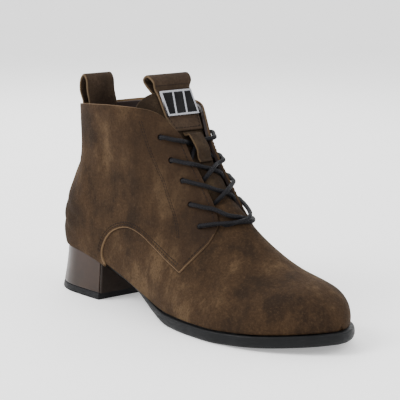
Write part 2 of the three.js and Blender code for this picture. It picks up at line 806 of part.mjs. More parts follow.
// Place on the middle line of the tongue at a height
function tongueStop(z, depth) {
  const p = tonguePoint(tongueSection(z), 1, MEDIAL, depth);
  return [p.x, p.z];
}

// Strap up the front of the tongue, over its top as a finger loop, and down behind it
function makeTonguePull() {
  const front = TONGUE_FRONT - STRAP_SEAT - STRAP_THICKNESS / 2;
  const behind = TONGUE_FRONT + TONGUE_THICKNESS + STRAP_SEAT + STRAP_THICKNESS / 2;
  const crest = tongueStop(TONGUE_CREST, front);
  const back = tongueStop(TONGUE_CREST, behind);
  const top = TONGUE_PULL_TOP - STRAP_THICKNESS / 2;
  const middle = (crest[0] + back[0]) / 2 + TONGUE_PULL_SET;
  const loop = bend([
    crest,
    [middle + TONGUE_PULL_GAP / 2, top - 3.4],
    [middle, top],
    [middle - TONGUE_PULL_GAP / 2, top - 3.4],
    back,
  ], 12);
  const breadth = curve(
    [TONGUE_PULL_FOOT, TONGUE_PULL_FOOT + 10, TONGUE_CREST - 5, TONGUE_PULL_TOP],
    [TONGUE_PULL_FOOT_BREADTH, TONGUE_PULL_BREADTH, TONGUE_PULL_BREADTH, TONGUE_PULL_TOP_BREADTH],
  );
  const behindBreadth = curve(
    [TONGUE_CREST - TONGUE_PULL_END, TONGUE_CREST - 6, TONGUE_CREST],
    [TONGUE_PULL_END_BREADTH, TONGUE_PULL_END_BREADTH, TONGUE_PULL_BREADTH],
  );
  const legs = (low, depth) => ramp(7, low, TONGUE_CREST - 4).map((z) => tongueStop(z, depth));
  return band([
    ...legs(TONGUE_PULL_FOOT, front).map(([x, z]) => [x, z, breadth(z)]),
    ...loop.map((p) => [p.x, p.y, breadth(p.y)]),
    ...legs(TONGUE_CREST - TONGUE_PULL_END, behind).reverse().map(([x, z]) => [x, z, behindBreadth(z)]),
  ], STRAP_THICKNESS);
}

// Small loop on the tongue that the top crossing of the lace runs through
function makeKeeper() {
  const foot = TONGUE_FRONT - STRAP_SEAT - KEEPER_THICKNESS / 2;
  const rises = [0, 0.1, 0.8, 1, 1.04, 1.04, 1, 0.9, 0.1, 0];
  const stops = ramp(rises.length, KEEPER_FOOT, KEEPER_FOOT + KEEPER_LENGTH).map((z, i) =>
    [...tongueStop(z, foot - KEEPER_RISE * rises[i]), KEEPER_BREADTH, 1]);
  return band(stops, KEEPER_THICKNESS, (y, z) => -backBow(y, z));
}

// How far the rounded back of the shaft falls away at a distance from its middle line
const backBow = (y, z) =>
  SHAFT_ROUND * (1 - Math.sqrt(1 - (y / (SHAFT_BREADTH * shaft.breadth(shaftUp(z)))) ** 2));

// Strap sewn down the back, with a loop over the collar and its end inside the shaft
function makeHeelPull() {
  const half = STRAP_THICKNESS / 2;
  const out = (z) => backX(z) - QUARTER_STEP - STRAP_SEAT - half;
  const within = (z) => backX(z) + WALL + STRAP_SEAT + GAP / 3 + half;
  const top = COLLAR_HEIGHT + HEEL_PULL_RISE - half;
  const collar = COLLAR_LINE[0].y;
  const middle = (out(collar) + within(collar)) / 2;
  const bulge = HEEL_PULL_GAP / 2 + half;
  const loop = bend([
    [out(collar), collar + 1],
    [middle - bulge, collar + 9],
    [middle - bulge * 0.75, top - 3],
    [middle, top],
    [middle + bulge * 0.75, top - 3],
    [middle + bulge, collar + 9],
    [within(collar), collar + 1],
  ], 14);
  const leg = (low, place) => ramp(6, low, collar - 4).map((z) => [place(z), z]);
  return band([
    ...leg(COLLAR_HEIGHT - HEEL_PULL_DROP, out),
    ...loop.map((p) => [p.x, p.y]),
    ...leg(collar - HEEL_PULL_END, within).reverse(),
  ].map(([x, z]) => [x, z, HEEL_PULL_BREADTH, 1 - smooth(collar, collar + 10, z)]), STRAP_THICKNESS, backBow);
}

// Badge: a metal rim with slanted bars round a plain enamel field, lying on the tongue pull
function makeBadge() {
  const face = TONGUE_FRONT - STRAP_SEAT - STRAP_THICKNESS;
  const low = tongueStop(BADGE_FOOT, face);
  const high = tongueStop(BADGE_FOOT + BADGE_HEIGHT * 0.8, face);
  const up = new THREE.Vector3(high[0] - low[0], 0, high[1] - low[1]).normalize();
  const right = new THREE.Vector3(0, 1, 0);
  const out = right.clone().cross(up);
  const group = new THREE.Group();
  group.position.set(low[0], 0, low[1]).addScaledVector(up, BADGE_HEIGHT / 2).addScaledVector(out, GAP);
  group.quaternion.setFromRotationMatrix(new THREE.Matrix4().makeBasis(right, up, out));
  const block = (w, h, z0, z1) => new THREE.BoxGeometry(w, h, z1 - z0).translate(0, 0, (z0 + z1) / 2);
  const inner = [BADGE_BREADTH - 2 * BADGE_RIM, BADGE_HEIGHT - 2 * BADGE_RIM];
  const rim = solid(block(BADGE_BREADTH, BADGE_HEIGHT, 0, BADGE_THICKNESS));
  const well = solid(block(...inner, BADGE_FLOOR, 2 * BADGE_THICKNESS));
  const bars = BADGE_BARS.map(([x, lean]) => {
    const shape = new THREE.Shape();
    shape.moveTo(x * BADGE_BREADTH - lean - BADGE_BAR / 2, -inner[1] / 2 - 0.2);
    shape.lineTo(x * BADGE_BREADTH - lean + BADGE_BAR / 2, -inner[1] / 2 - 0.2);
    shape.lineTo(x * BADGE_BREADTH + lean + BADGE_BAR / 2, inner[1] / 2 + 0.2);
    shape.lineTo(x * BADGE_BREADTH + lean - BADGE_BAR / 2, inner[1] / 2 + 0.2);
    const geometry = new THREE.ExtrudeGeometry(shape, {
      depth: BADGE_THICKNESS - BADGE_FLOOR / 2,
      bevelEnabled: false,
    });
    return solid(geometry.translate(0, 0, BADGE_FLOOR / 2));
  });
  const frame = bars.reduce((body, bar) => body.add(bar), rim.subtract(well));
  group.add(toMesh("badge_frame", frame, metal));
  const field = solid(block(inner[0] - GAP * 2, inner[1] - GAP * 2, BADGE_FLOOR + GAP, BADGE_FACE));
  const cutters = BADGE_BARS.map(([x, lean]) => {
    const shape = new THREE.Shape();
    const half = BADGE_BAR / 2 + GAP;
    shape.moveTo(x * BADGE_BREADTH - lean - half, -inner[1] / 2);
    shape.lineTo(x * BADGE_BREADTH - lean + half, -inner[1] / 2);
    shape.lineTo(x * BADGE_BREADTH + lean + half, inner[1] / 2);
    shape.lineTo(x * BADGE_BREADTH + lean - half, inner[1] / 2);
    return solid(new THREE.ExtrudeGeometry(shape, { depth: 3 * BADGE_THICKNESS, bevelEnabled: false }));
  });
  const panels = cutters.reduce((body, cutter) => body.subtract(cutter), field).decompose();
  panels.sort((a, b) => a.boundingBox().min[0] - b.boundingBox().min[0]);
  panels.forEach((panel, i) => group.add(toMesh(`badge_enamel_${i + 1}`, panel, enamel)));
  return group;
}

// Laces: a bar between the lowest holes and a crossing for each pair above it
function laceTube(points) {
  const radius = LACE_DIAMETER / 2;
  const shape = new THREE.Shape(ramp(8).slice(0, 7).map((k) =>
    new THREE.Vector2(radius * Math.cos(2 * Math.PI * k), radius * Math.sin(2 * Math.PI * k))));
  const path = new THREE.CatmullRomCurve3(points);
  return solid(new THREE.ExtrudeGeometry(shape, { extrudePath: path, steps: LACE_STEPS, bevelEnabled: false }));
}

const overFacing = (share, side, rise = 0) => {
  const { point, normal } = seatOn(share.x, share.y, side);
  return point.addScaledVector(normal, QUARTER_STEP + GAP + LACE_DIAMETER / 2 + rise);
};

// Point over the tongue between the facings, at a height and a distance from the middle
function overTongue(z, y, rise) {
  const s = tongueSection(z);
  const side = y < 0 ? LATERAL : MEDIAL;
  const tau = Math.abs(y) < 1 ? 1 : tauAt(s, Math.abs(y), side);
  const p = tonguePoint(s, tau, side, TONGUE_FRONT - GAP - LACE_DIAMETER / 2 - rise);
  return new THREE.Vector3(p.x, y, p.z);
}

// Point of a facing's front edge at a height
function facingEdge(z) {
  const rows = [...FACING_LINE].reverse();
  return new THREE.Vector2(curve(rows.map((p) => p.y), rows.map((p) => p.x))(z), z);
}

function makeLaceCrossing(row) {
  const [from, to] = [EYELETS[row], EYELETS[row + 1]];
  const lowest = row === EYELETS.length - 2;
  const over = lowest ? overVamp : overTongue;
  const middle = (from.y + to.y) / 2;
  const at = (k) => middle + (to.y - middle) * k;
  const strands = [LATERAL, MEDIAL].map((side) => {
    const edge = facingEdge(at(-0.75));
    return laceTube([
      overFacing(from, side),
      overFacing(from.clone().lerp(edge, 0.5), side, 0.3),
      overFacing(edge, side, 2.2 * LACE_LIFT),
      over(at(-0.45), side * 5.5, 3 * LACE_LIFT),
      over(middle, 0, LACE_LIFT),
      over(at(lowest ? 0.15 : 0.35), -side * 4, LACE_LIFT),
      over(at(lowest ? 0.3 : 0.7), -side * LACE_END, LACE_LIFT),
    ]);
  });
  return strands[0].add(strands[1]);
}

// Point over the vamp, at a height and a distance from the middle
function overVamp(z, y, rise) {
  const side = y < 0 ? LATERAL : MEDIAL;
  let [low, high] = [tongueStart - 0.1, tongueEnd];
  let p = null;
  for (let i = 0; i < 24; i += 1) {
    const middle = (low + high) / 2;
    p = grownPoint(middle, tauAt(middle, Math.abs(y), side), side, GAP + LACE_DIAMETER / 2 + rise);
    if (p.z < z) low = middle;
    else high = middle;
  }
  return p;
}

function makeLaceBar() {
  const hole = EYELETS.at(-1);
  const edge = facingEdge(hole.y);
  const route = (side) => [
    overFacing(hole, side),
    overFacing(hole.clone().lerp(edge, 0.5), side, 0.3),
    overFacing(edge, side, 0.3),
  ];
  const across = [-5, 0, 5].map((y) => overVamp(hole.y + LACE_BAR_RISE, y, LACE_LIFT));
  return laceTube([...route(LATERAL), ...across, ...route(MEDIAL).reverse()]);
}

// Zip slider and its pull tab, facing +Y; the tab hangs from its own pin under the bridge
const SLIDER_Z = 1.046 * COLLAR_HEIGHT - SLIDER_DROP;
function sliderSeat() {
  const face = sidePoint(ZIP_X, SLIDER_Z, MEDIAL, ZIP_THICKNESS - 0.3);
  return new THREE.Vector3(ZIP_X, face.y + GAP, SLIDER_Z);
}
const PIN_RISE = SLIDER_THICKNESS + BRIDGE_RADIUS + 2 * GAP;

function facingOut() {
  const basis = new THREE.Matrix4().makeBasis(
    new THREE.Vector3(-1, 0, 0), new THREE.Vector3(0, 0, 1), new THREE.Vector3(0, 1, 0));
  return new THREE.Quaternion().setFromRotationMatrix(basis);
}

function makeZipSlider() {
  const shape = new THREE.Shape();
  const [w, h] = [SLIDER_BREADTH / 2, SLIDER_HEIGHT / 2];
  shape.moveTo(-w, h - 2);
  shape.quadraticCurveTo(-w, h, 0, h);
  shape.quadraticCurveTo(w, h, w, h - 2);
  shape.lineTo(w * 0.6, -h);
  shape.lineTo(-w * 0.6, -h);
  const body = solid(new THREE.ExtrudeGeometry(shape, {
    depth: SLIDER_THICKNESS,
    bevelEnabled: false,
    curveSegments: 4,
  }));
  const rise = PIN_RISE + BRIDGE_RADIUS * 2 + GAP * 2;
  const reach = BRIDGE_REACH;
  const path = new THREE.CatmullRomCurve3([
    [0, reach, SLIDER_THICKNESS - 0.6],
    [0, reach, PIN_RISE],
    [0, reach * 0.6, rise],
    [0, -reach * 0.6, rise],
    [0, -reach, PIN_RISE],
    [0, -reach, SLIDER_THICKNESS - 0.6],
  ].map((p) => new THREE.Vector3(...p)));
  const section = new THREE.Shape(ramp(7).slice(0, 6).map((k) => new THREE.Vector2(
    BRIDGE_RADIUS * Math.cos(2 * Math.PI * k), BRIDGE_RADIUS * Math.sin(2 * Math.PI * k))));
  const bridge = solid(new THREE.ExtrudeGeometry(section, {
    extrudePath: path, steps: 12, bevelEnabled: false,
  }));
  const mesh = toMesh("zip_slider", body.add(bridge), metal);
  mesh.position.copy(sliderSeat());
  mesh.quaternion.copy(facingOut());
  return mesh;
}

function makeZipPull() {
  const shape = new THREE.Shape();
  const w = TAB_BREADTH / 2;
  const eye = TAB_EYE;
  shape.moveTo(-w * 0.8, 0);
  shape.lineTo(w * 0.8, 0);
  shape.lineTo(w, -eye - 2);
  shape.lineTo(w * 0.75, -TAB_LENGTH + 1.5);
  shape.quadraticCurveTo(w * 0.7, -TAB_LENGTH, 0, -TAB_LENGTH);
  shape.quadraticCurveTo(-w * 0.7, -TAB_LENGTH, -w * 0.75, -TAB_LENGTH + 1.5);
  shape.lineTo(-w, -eye - 2);
  const window = new THREE.Path();
  window.moveTo(-TAB_EYE_HALF, -BRIDGE_RADIUS);
  window.lineTo(-TAB_EYE_HALF, -eye);
  window.lineTo(TAB_EYE_HALF, -eye);
  window.lineTo(TAB_EYE_HALF, -BRIDGE_RADIUS);
  shape.holes.push(window);
  const plateBody = solid(new THREE.ExtrudeGeometry(shape, {
    depth: TAB_THICKNESS,
    bevelEnabled: false,
    curveSegments: 4,
  }).translate(0, 0, -TAB_THICKNESS / 2));
  const pin = new THREE.CylinderGeometry(BRIDGE_RADIUS, BRIDGE_RADIUS, 1.6 * w, 12);
  const mesh = toMesh("zip_pull", plateBody.add(solid(pin.rotateZ(Math.PI / 2))), metal);
  mesh.position.copy(sliderSeat()).add(new THREE.Vector3(0, PIN_RISE, 0));
  mesh.quaternion.copy(facingOut());
  return mesh;
}

const material = (color, roughness, metalness = 0) =>
  new THREE.MeshStandardMaterial({ color, roughness, metalness });
const suede = material(0x5f4a38, 0.95);
const rubber = material(0x1c1e22, 0.55);
const heelCover = material(0x6b5a50, 0.35);
const lining = material(0x3a2826, 0.8);
const strap = material(0x6f5b4d, 0.9);
const cord = material(0x2e2d35, 0.8);
const metal = material(0xb9b9bd, 0.25, 1);
const enamel = material(0x101013, 0.15);
const tape = material(0x1e1a19, 0.8);

const boot = new THREE.Group();
boot.add(toMesh("outsole", makeOutsole(), rubber));
boot.add(toMesh("heel_block", makeHeelBlock(), heelCover));
boot.add(toMesh("top_piece", makeTopPiece(), rubber));
boot.add(toMesh("insole", makeInsole(), lining));
boot.add(toMesh("upper", makeUpper(), suede));
boot.add(toMesh("tongue", makeTongue(), suede));
boot.add(toMesh("tongue_pull", makeTonguePull(), strap));
boot.add(toMesh("lace_keeper", makeKeeper(), strap));
boot.add(toMesh("heel_pull", makeHeelPull(), strap));
boot.add(makeBadge());
boot.add(toMesh("lace_bar", makeLaceBar(), cord));
EYELETS.slice(1).forEach((_, row) => {
  boot.add(toMesh(`lace_crossing_${row + 1}`, makeLaceCrossing(row), cord));
});
boot.add(toMesh("zip_chain", makeZipChain(), tape));
boot.add(makeZipSlider());
boot.add(makeZipPull());

export default boot;
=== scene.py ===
# %% [markdown]
# # A suede ankle boot in Blender
#
# This scene dresses a right ankle boot: an olive brown suede upper on a block heel, laced over a
# tongue, with a zip on the inner side. The hard geometry comes from a CAD model of the same boot.
# The lesson keeps to one idea: every visible surface is a function of two parameters, worked out
# with numpy on a whole grid at once, and every material is worked out from real millimetres.
#
# The steps follow the boot as a shoemaker builds it: the last first, then the panels cut on it,
# the lining, the tongue, the straps, the lace, the zip, the sole and the heel.

import bpy
import numpy as np
from mathutils import Matrix, Vector


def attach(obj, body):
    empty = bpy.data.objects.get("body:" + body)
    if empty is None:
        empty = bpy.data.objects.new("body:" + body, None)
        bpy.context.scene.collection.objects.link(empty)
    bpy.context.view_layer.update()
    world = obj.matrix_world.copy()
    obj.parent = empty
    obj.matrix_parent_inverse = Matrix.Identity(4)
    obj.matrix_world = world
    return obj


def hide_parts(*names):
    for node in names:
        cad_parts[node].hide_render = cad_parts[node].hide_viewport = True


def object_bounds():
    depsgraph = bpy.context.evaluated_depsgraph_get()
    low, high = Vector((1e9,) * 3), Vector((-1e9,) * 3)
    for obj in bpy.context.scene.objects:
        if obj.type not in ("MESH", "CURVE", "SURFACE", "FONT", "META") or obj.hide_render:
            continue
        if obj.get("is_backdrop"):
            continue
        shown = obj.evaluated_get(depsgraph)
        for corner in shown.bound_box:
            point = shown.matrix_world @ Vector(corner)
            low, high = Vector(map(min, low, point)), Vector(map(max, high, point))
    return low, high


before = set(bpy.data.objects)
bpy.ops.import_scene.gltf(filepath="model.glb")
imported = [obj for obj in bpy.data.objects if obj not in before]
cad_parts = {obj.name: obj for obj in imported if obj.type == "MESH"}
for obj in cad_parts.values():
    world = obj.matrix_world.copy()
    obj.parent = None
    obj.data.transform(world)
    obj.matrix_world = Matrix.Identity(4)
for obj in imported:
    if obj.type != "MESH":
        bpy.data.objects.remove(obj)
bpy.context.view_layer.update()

print("CAD nodes:", len(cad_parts))

# %% [markdown]
# ## The sizes
#
# A boot is designed from a few sizes of its last: its length, the breadth across the ball, the
# heel height and the height of the collar. All of the tables below are shares of those sizes, so
# that the boot could be graded up or down by changing four numbers. Lengths are millimetres.

# %% Driving sizes
LAST_LENGTH = 251.0
HEEL_POINT_X = -35.0
BALL_BREADTH = 88.0
SHAFT_BREADTH = 66.0
COLLAR_HEIGHT = 131.0
HEEL_HEIGHT = 33.0
SOLE_THICKNESS = 7.6
TOE_SPRING = 6.0
HEEL_ROUND = 30.0
TOE_ROUND = 46.0
TOE_CAP_ROUND = 30.0
SHAFT_ROUND = 46.0
FORM_TOP = 158.0
WALL = 2.2
PANEL = 1.25
TOE_X = HEEL_POINT_X + LAST_LENGTH
LATERAL, MEDIAL = -1, 1
MM = 0.001
print("last from", HEEL_POINT_X, "to", TOE_X, "mm")


# %% Curves through the columns of a table
def curve(xs, ys):
    """Monotone cubic through (xs, ys): between two rows the slope never overshoots either."""
    xs, ys = np.asarray(xs, float), np.asarray(ys, float)
    h = np.diff(xs)
    rise = np.diff(ys) / h
    turns = rise[:-1] * rise[1:] <= 0
    before, after = (np.where(turns, 1.0, part) for part in (rise[:-1], rise[1:]))
    weight = (2 * h[1:] + h[:-1]) * after + (h[1:] + 2 * h[:-1]) * before
    mean = 3 * (h[1:] + h[:-1]) * before * after / weight
    m = np.concatenate([rise[:1], np.where(turns, 0.0, mean), rise[-1:]])

    def at(x):
        x = np.asarray(x, float)
        i = np.clip(np.searchsorted(xs, x, side="right") - 1, 0, len(h) - 1)
        t = np.clip((x - xs[i]) / h[i], 0, 1)
        up = t * t * (3 - 2 * t)
        return (ys[i] * (1 - up) + ys[i + 1] * up
                + (t**3 - 2 * t * t + t) * h[i] * m[i] + (t**3 - t * t) * h[i] * m[i + 1])
    return at


def table(names, rows):
    """Table with named columns: the first column says where each row stands."""
    columns = list(zip(*rows))
    return {name: curve(columns[0], column) for name, column in zip(names[1:], columns[1:])}


def smooth(low, high, value):
    """Soft step: 0 below low, 1 above high."""
    t = np.clip((np.asarray(value, float) - low) / (high - low), 0, 1)
    return t * t * (3 - 2 * t)


def rounding(t, fullness=2.0):
    """Quarter of a rounded outline: 0 at t = 0, level 1 from t = 1 on."""
    return (1 - (1 - np.clip(t, 0, 1)) ** fullness) ** (1 / np.asarray(fullness, float))


def unit(vectors):
    """Vectors scaled to length one."""
    return vectors / np.maximum(np.linalg.norm(vectors, axis=-1, keepdims=True), 1e-9)


def run_along(line):
    """Distance travelled at each point of a polyline."""
    return np.concatenate([[0], np.cumsum(np.linalg.norm(np.diff(line, axis=0), axis=1))])


def at_runs(places, run, line):
    """Points of a polyline at given distances along it."""
    return np.stack([np.interp(places, run, column) for column in line.T], -1)


# %% Tables of the last, as shares of the driving sizes
plan = table(["at", "lateral", "medial", "middle"], [
    (0.00, 0.345, 0.340, 0.000), (0.08, 0.350, 0.345, 0.000), (0.16, 0.355, 0.340, 0.000),
    (0.30, 0.350, 0.300, 0.000), (0.42, 0.375, 0.295, 0.000), (0.54, 0.440, 0.360, 0.000),
    (0.64, 0.480, 0.435, 0.000), (0.72, 0.485, 0.475, 0.000), (0.80, 0.455, 0.465, 0.010),
    (0.88, 0.395, 0.415, 0.020), (0.94, 0.335, 0.355, 0.030), (1.00, 0.270, 0.290, 0.035),
])
shaft = table(["up", "back", "breadth"], [
    (0.00, 0.000, 0.455), (0.12, -0.003, 0.460), (0.28, -0.002, 0.457), (0.48, 0.017, 0.453),
    (0.66, 0.036, 0.451), (0.80, 0.042, 0.465), (1.00, 0.042, 0.490),
])
instep = table(["at", "height"], [
    (0.384, 1.220), (0.424, 1.100), (0.457, 1.000), (0.495, 0.885), (0.534, 0.794),
    (0.570, 0.710), (0.610, 0.618), (0.645, 0.542), (0.705, 0.448), (0.757, 0.383),
    (0.809, 0.333), (0.873, 0.300), (0.924, 0.282), (1.000, 0.250),
])
ridge = table(["at", "shift"], [
    (0.45, 0.000), (0.60, 0.010), (0.72, 0.040), (0.85, 0.060), (1.00, 0.030),
])
SECTION_ROWS = [
    (0.000, 1.000, 1.00, 2.30), (0.006, 0.995, 1.00, 2.30), (0.025, 0.980, 1.00, 2.30),
    (0.060, 0.950, 1.00, 2.25), (0.110, 0.910, 1.00, 2.15), (0.180, 0.860, 1.00, 2.05),
    (0.270, 0.803, 1.00, 1.95), (0.370, 0.750, 0.98, 1.90), (0.480, 0.703, 0.92, 1.90),
    (0.600, 0.660, 0.84, 1.90), (0.720, 0.623, 0.75, 1.90), (0.830, 0.592, 0.67, 1.95),
    (0.920, 0.568, 0.61, 2.00), (0.975, 0.552, 0.57, 2.00), (1.000, 0.545, 0.56, 2.00),
    (1.040, 0.537, 0.55, 2.00), (1.120, 0.524, 0.53, 2.00), (1.280, 0.500, 0.51, 2.00),
    (1.500, 0.466, 0.49, 2.00), (1.750, 0.427, 0.47, 2.00), (2.000, 0.384, 0.46, 2.00),
]
section = table(
    ["s", "foot", "top", "round", "fullness"],
    [(i / (len(SECTION_ROWS) - 1), *row) for i, row in enumerate(SECTION_ROWS)],
)
HEEL_SECTION = 0.7
print("sections of the last:", len(SECTION_ROWS))

# %% [markdown]
# ## The last as one function
#
# The upper is a skin pulled over a last. Its surface here is one function of two numbers: `s`
# runs from the toe over the instep to the top of the shaft, and `tau` runs up each section from
# the feather line (or the back line) to the ridge of the instep. Each point is placed in the side
# view first, and its half breadth then comes from the plan outline, the rounded heel and toe, and
# a rounded crown towards the ridge. All panels are patches of this one function, so they fit.


# %% The last
def share_of(x):
    return (x - HEEL_POINT_X) / LAST_LENGTH


def seat(x):
    """Height of the feather line: heel height, arch, ball and toe spring."""
    t = np.clip(share_of(x), 0, 1)
    arch = (HEEL_HEIGHT - SOLE_THICKNESS) * (1 - smooth(0.07, 0.56, t))
    return SOLE_THICKNESS + arch + TOE_SPRING * (np.clip(t - 0.66, 0, None) / 0.34) ** 2


def shaft_up(z):
    return (z - HEEL_HEIGHT) / (COLLAR_HEIGHT - HEEL_HEIGHT)


def back_x(z):
    """Back line of the boot in the side view."""
    return HEEL_POINT_X + LAST_LENGTH * shaft["back"](shaft_up(z))


def instep_height(t):
    low = seat(HEEL_POINT_X + t * LAST_LENGTH)
    full = instep["height"](t) * COLLAR_HEIGHT
    return low + (full - low) * rounding((1 - t) * LAST_LENGTH / TOE_CAP_ROUND, 2.2)


def half_breadth(x, z, rise, s, side):
    """Half breadth at a side view point: plan outline low down, shaft breadth higher up."""
    inside = np.clip(x, HEEL_POINT_X, TOE_X)
    height = np.clip(z - seat(inside), 0, None)
    t = np.clip(share_of(x), 0, 1)
    column = np.where(np.asarray(side) < 0, plan["lateral"](t), plan["medial"](t))
    swell = 2.2 * rounding(height / 16) * (1 - smooth(20, 60, height))
    k = smooth(14, 70, height)
    breadth = (column * BALL_BREADTH + swell) * (1 - k)
    breadth = breadth + shaft["breadth"](np.clip(shaft_up(z), 0, None)) * SHAFT_BREADTH * k
    radius = HEEL_ROUND * (1 - k) + SHAFT_ROUND * k
    heel = rounding((x - back_x(np.clip(z, HEEL_HEIGHT, FORM_TOP))) / radius, 2.2 - 0.2 * k)
    toe = rounding((TOE_X - x) / TOE_ROUND, 2.15)
    return breadth * heel * toe * rounding((1 - rise) / section["round"](s), section["fullness"](s))


def last_point(s, tau, side):
    """Point of the last for arrays of s, tau and side, as an array of xyz."""
    s, tau, side = np.broadcast_arrays(np.asarray(s, float), np.asarray(tau, float), side)
    foot, top = section["foot"](s), section["top"](s)
    up = np.clip(foot - 1, 0, 1)
    back_z = HEEL_HEIGHT + up * (FORM_TOP - HEEL_HEIGHT)
    sole_x = HEEL_POINT_X + LAST_LENGTH * (1 - np.clip(foot, 0, 1))
    foot_x = np.where(up > 0, back_x(back_z), sole_x)
    foot_z = np.where(up > 0, back_z, seat(sole_x))
    w = smooth(0.7, 0.95, foot)
    rise = (1 - w) * np.sin(np.pi / 2 * tau) + w * (1 - np.cos(np.pi * tau)) / 2
    x = foot_x + rise * (HEEL_POINT_X + top * LAST_LENGTH - foot_x)
    z = foot_z + rise * (instep_height(top) - foot_z)
    t = np.clip(share_of(x), 0, 1)
    middle = plan["middle"](t) + ridge["shift"](np.clip(t, 0.45, 1)) * rise**1.5
    y = middle * BALL_BREADTH + side * half_breadth(x, z, rise, s, side)
    return np.stack([x, y, z], -1)


STEP = 1e-3


def last_normal(s, tau, side):
    """Outward unit normal, from differences along both parameters."""
    s, tau, side = np.broadcast_arrays(np.asarray(s, float), np.asarray(tau, float), side)
    s0, s1 = np.clip(s - STEP, STEP, 1), np.clip(s + STEP, 0, 1)
    t0, t1 = np.clip(tau - STEP, 0, 1), np.clip(tau + STEP, 0, 1)
    inner = np.clip(tau, STEP, 1 - STEP)
    along = last_point(s1, inner, side) - last_point(s0, inner, side)
    across = last_point(s, t1, side) - last_point(s, t0, side)
    n = np.cross(along, across) * side[..., None]
    level = (tau >= 1 - STEP) | ((tau <= STEP) & (s >= HEEL_SECTION - STEP))
    n[..., 1] = np.where(level, 0, n[..., 1])
    return unit(n)


def grown(s, tau, side, grow):
    """Point at a distance from the last, along its normal."""
    return last_point(s, tau, side) + last_normal(s, tau, side) * np.asarray(grow, float)[..., None]


GRID_S, GRID_T = np.meshgrid(np.linspace(0.02, 1, 160), np.linspace(0, 1, 90), indexing="ij")


def on_last(places, side):
    """(s, tau) of side view places (x, z): nearest grid point, then Newton steps for all at once."""
    places = np.atleast_2d(places)
    seed = last_point(GRID_S, GRID_T, side)[..., [0, 2]].reshape(-1, 2)
    nearest = np.argmin(((seed[None] - places[:, None]) ** 2).sum(-1), 1)
    s, tau = GRID_S.ravel()[nearest].copy(), GRID_T.ravel()[nearest].copy()
    h = 1e-4
    for _ in range(14):
        p = last_point(s, tau, side)[:, [0, 2]]
        ps = (last_point(s + h, tau, side)[:, [0, 2]] - p) / h
        pt = (last_point(s, tau + h, side)[:, [0, 2]] - p) / h
        det = ps[:, 0] * pt[:, 1] - pt[:, 0] * ps[:, 1]
        det = np.where(np.abs(det) < 1e-6, 1e-6, det)
        d = places - p
        ds = (pt[:, 1] * d[:, 0] - pt[:, 0] * d[:, 1]) / det
        dt = (ps[:, 0] * d[:, 1] - ps[:, 1] * d[:, 0]) / det
        s = np.clip(s + np.clip(ds, -0.05, 0.05), STEP, 1 - STEP)
        tau = np.clip(tau + np.clip(dt, -0.05, 0.05), STEP, 1 - STEP)
    return s, tau


check = last_point([0.3, 0.6], [1.0, 1.0], LATERAL)
print("ridge at two sections, mm:", np.round(check, 1).tolist())

# %% [markdown]
# ## Tools for grids
#
# A few small tools make every mesh in the scene. A *shell* is a grid with thickness: a top layer,
# a bottom layer and a wall round the border and round any hole, so it is closed. *Closed rings*
# are a body lofted through rings, and a *tube* is a round section carried along a path. A
# *scatter* repeats one small template, such as a stitch, at many places in a single mesh. Each
# takes whole arrays, with no loop over points.


# %% Mesh tools
def volume(verts, quads):
    """Sum of the signed volumes of all faces, six times over: above 0 where faces point outward."""
    a, b, c, d = (verts[quads[:, i]] for i in range(4))
    return (np.einsum("ij,ij->i", a, np.cross(b, c)) + np.einsum("ij,ij->i", a, np.cross(c, d))).sum()


def new_object(name, verts, quads, sharp, uv=None, fields=None):
    """Closed mesh in mm, riding the boot; fields are float attributes on its vertices."""
    if volume(verts, quads) < 0:
        quads = quads[:, ::-1]
    mesh = bpy.data.meshes.new(name)
    mesh.from_pydata((verts * MM).tolist(), [], quads.tolist())
    mesh.polygons.foreach_set("use_smooth", np.ones(len(quads), bool))
    if uv is not None:
        layer = mesh.uv_layers.new(name="length")
        loops = np.empty(len(mesh.loops), int)
        mesh.loops.foreach_get("vertex_index", loops)
        layer.data.foreach_set("uv", (uv[loops] * MM).astype(np.float32).ravel())
    for label, values in (fields or {}).items():
        attribute = mesh.attributes.new(label, "FLOAT", "POINT")
        attribute.data.foreach_set("value", values.astype(np.float32).ravel())
    mesh.update()
    mesh.set_sharp_from_angle(angle=sharp)
    obj = bpy.data.objects.new(name, mesh)
    bpy.context.scene.collection.objects.link(obj)
    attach(obj, "boot")
    return obj


def grid_faces(rows, columns, close=False):
    """Quads of a grid whose points are numbered row by row."""
    i, j = np.meshgrid(np.arange(rows - 1), np.arange(columns if close else columns - 1), indexing="ij")
    k = (j + 1) % columns
    quads = [i * columns + j, i * columns + k, (i + 1) * columns + k, (i + 1) * columns + j]
    return np.stack(quads, -1).reshape(-1, 4)


def arc_lengths(grid):
    """Distance along both directions of a grid, in mm, as its UV."""
    along = np.cumsum(np.linalg.norm(np.diff(grid, axis=0), axis=-1), 0)
    across = np.cumsum(np.linalg.norm(np.diff(grid, axis=1), axis=-1), 1)
    uv = np.stack([np.pad(along, ((1, 0), (0, 0))), np.pad(across, ((0, 0), (1, 0)))], -1)
    return uv.reshape(-1, 2)


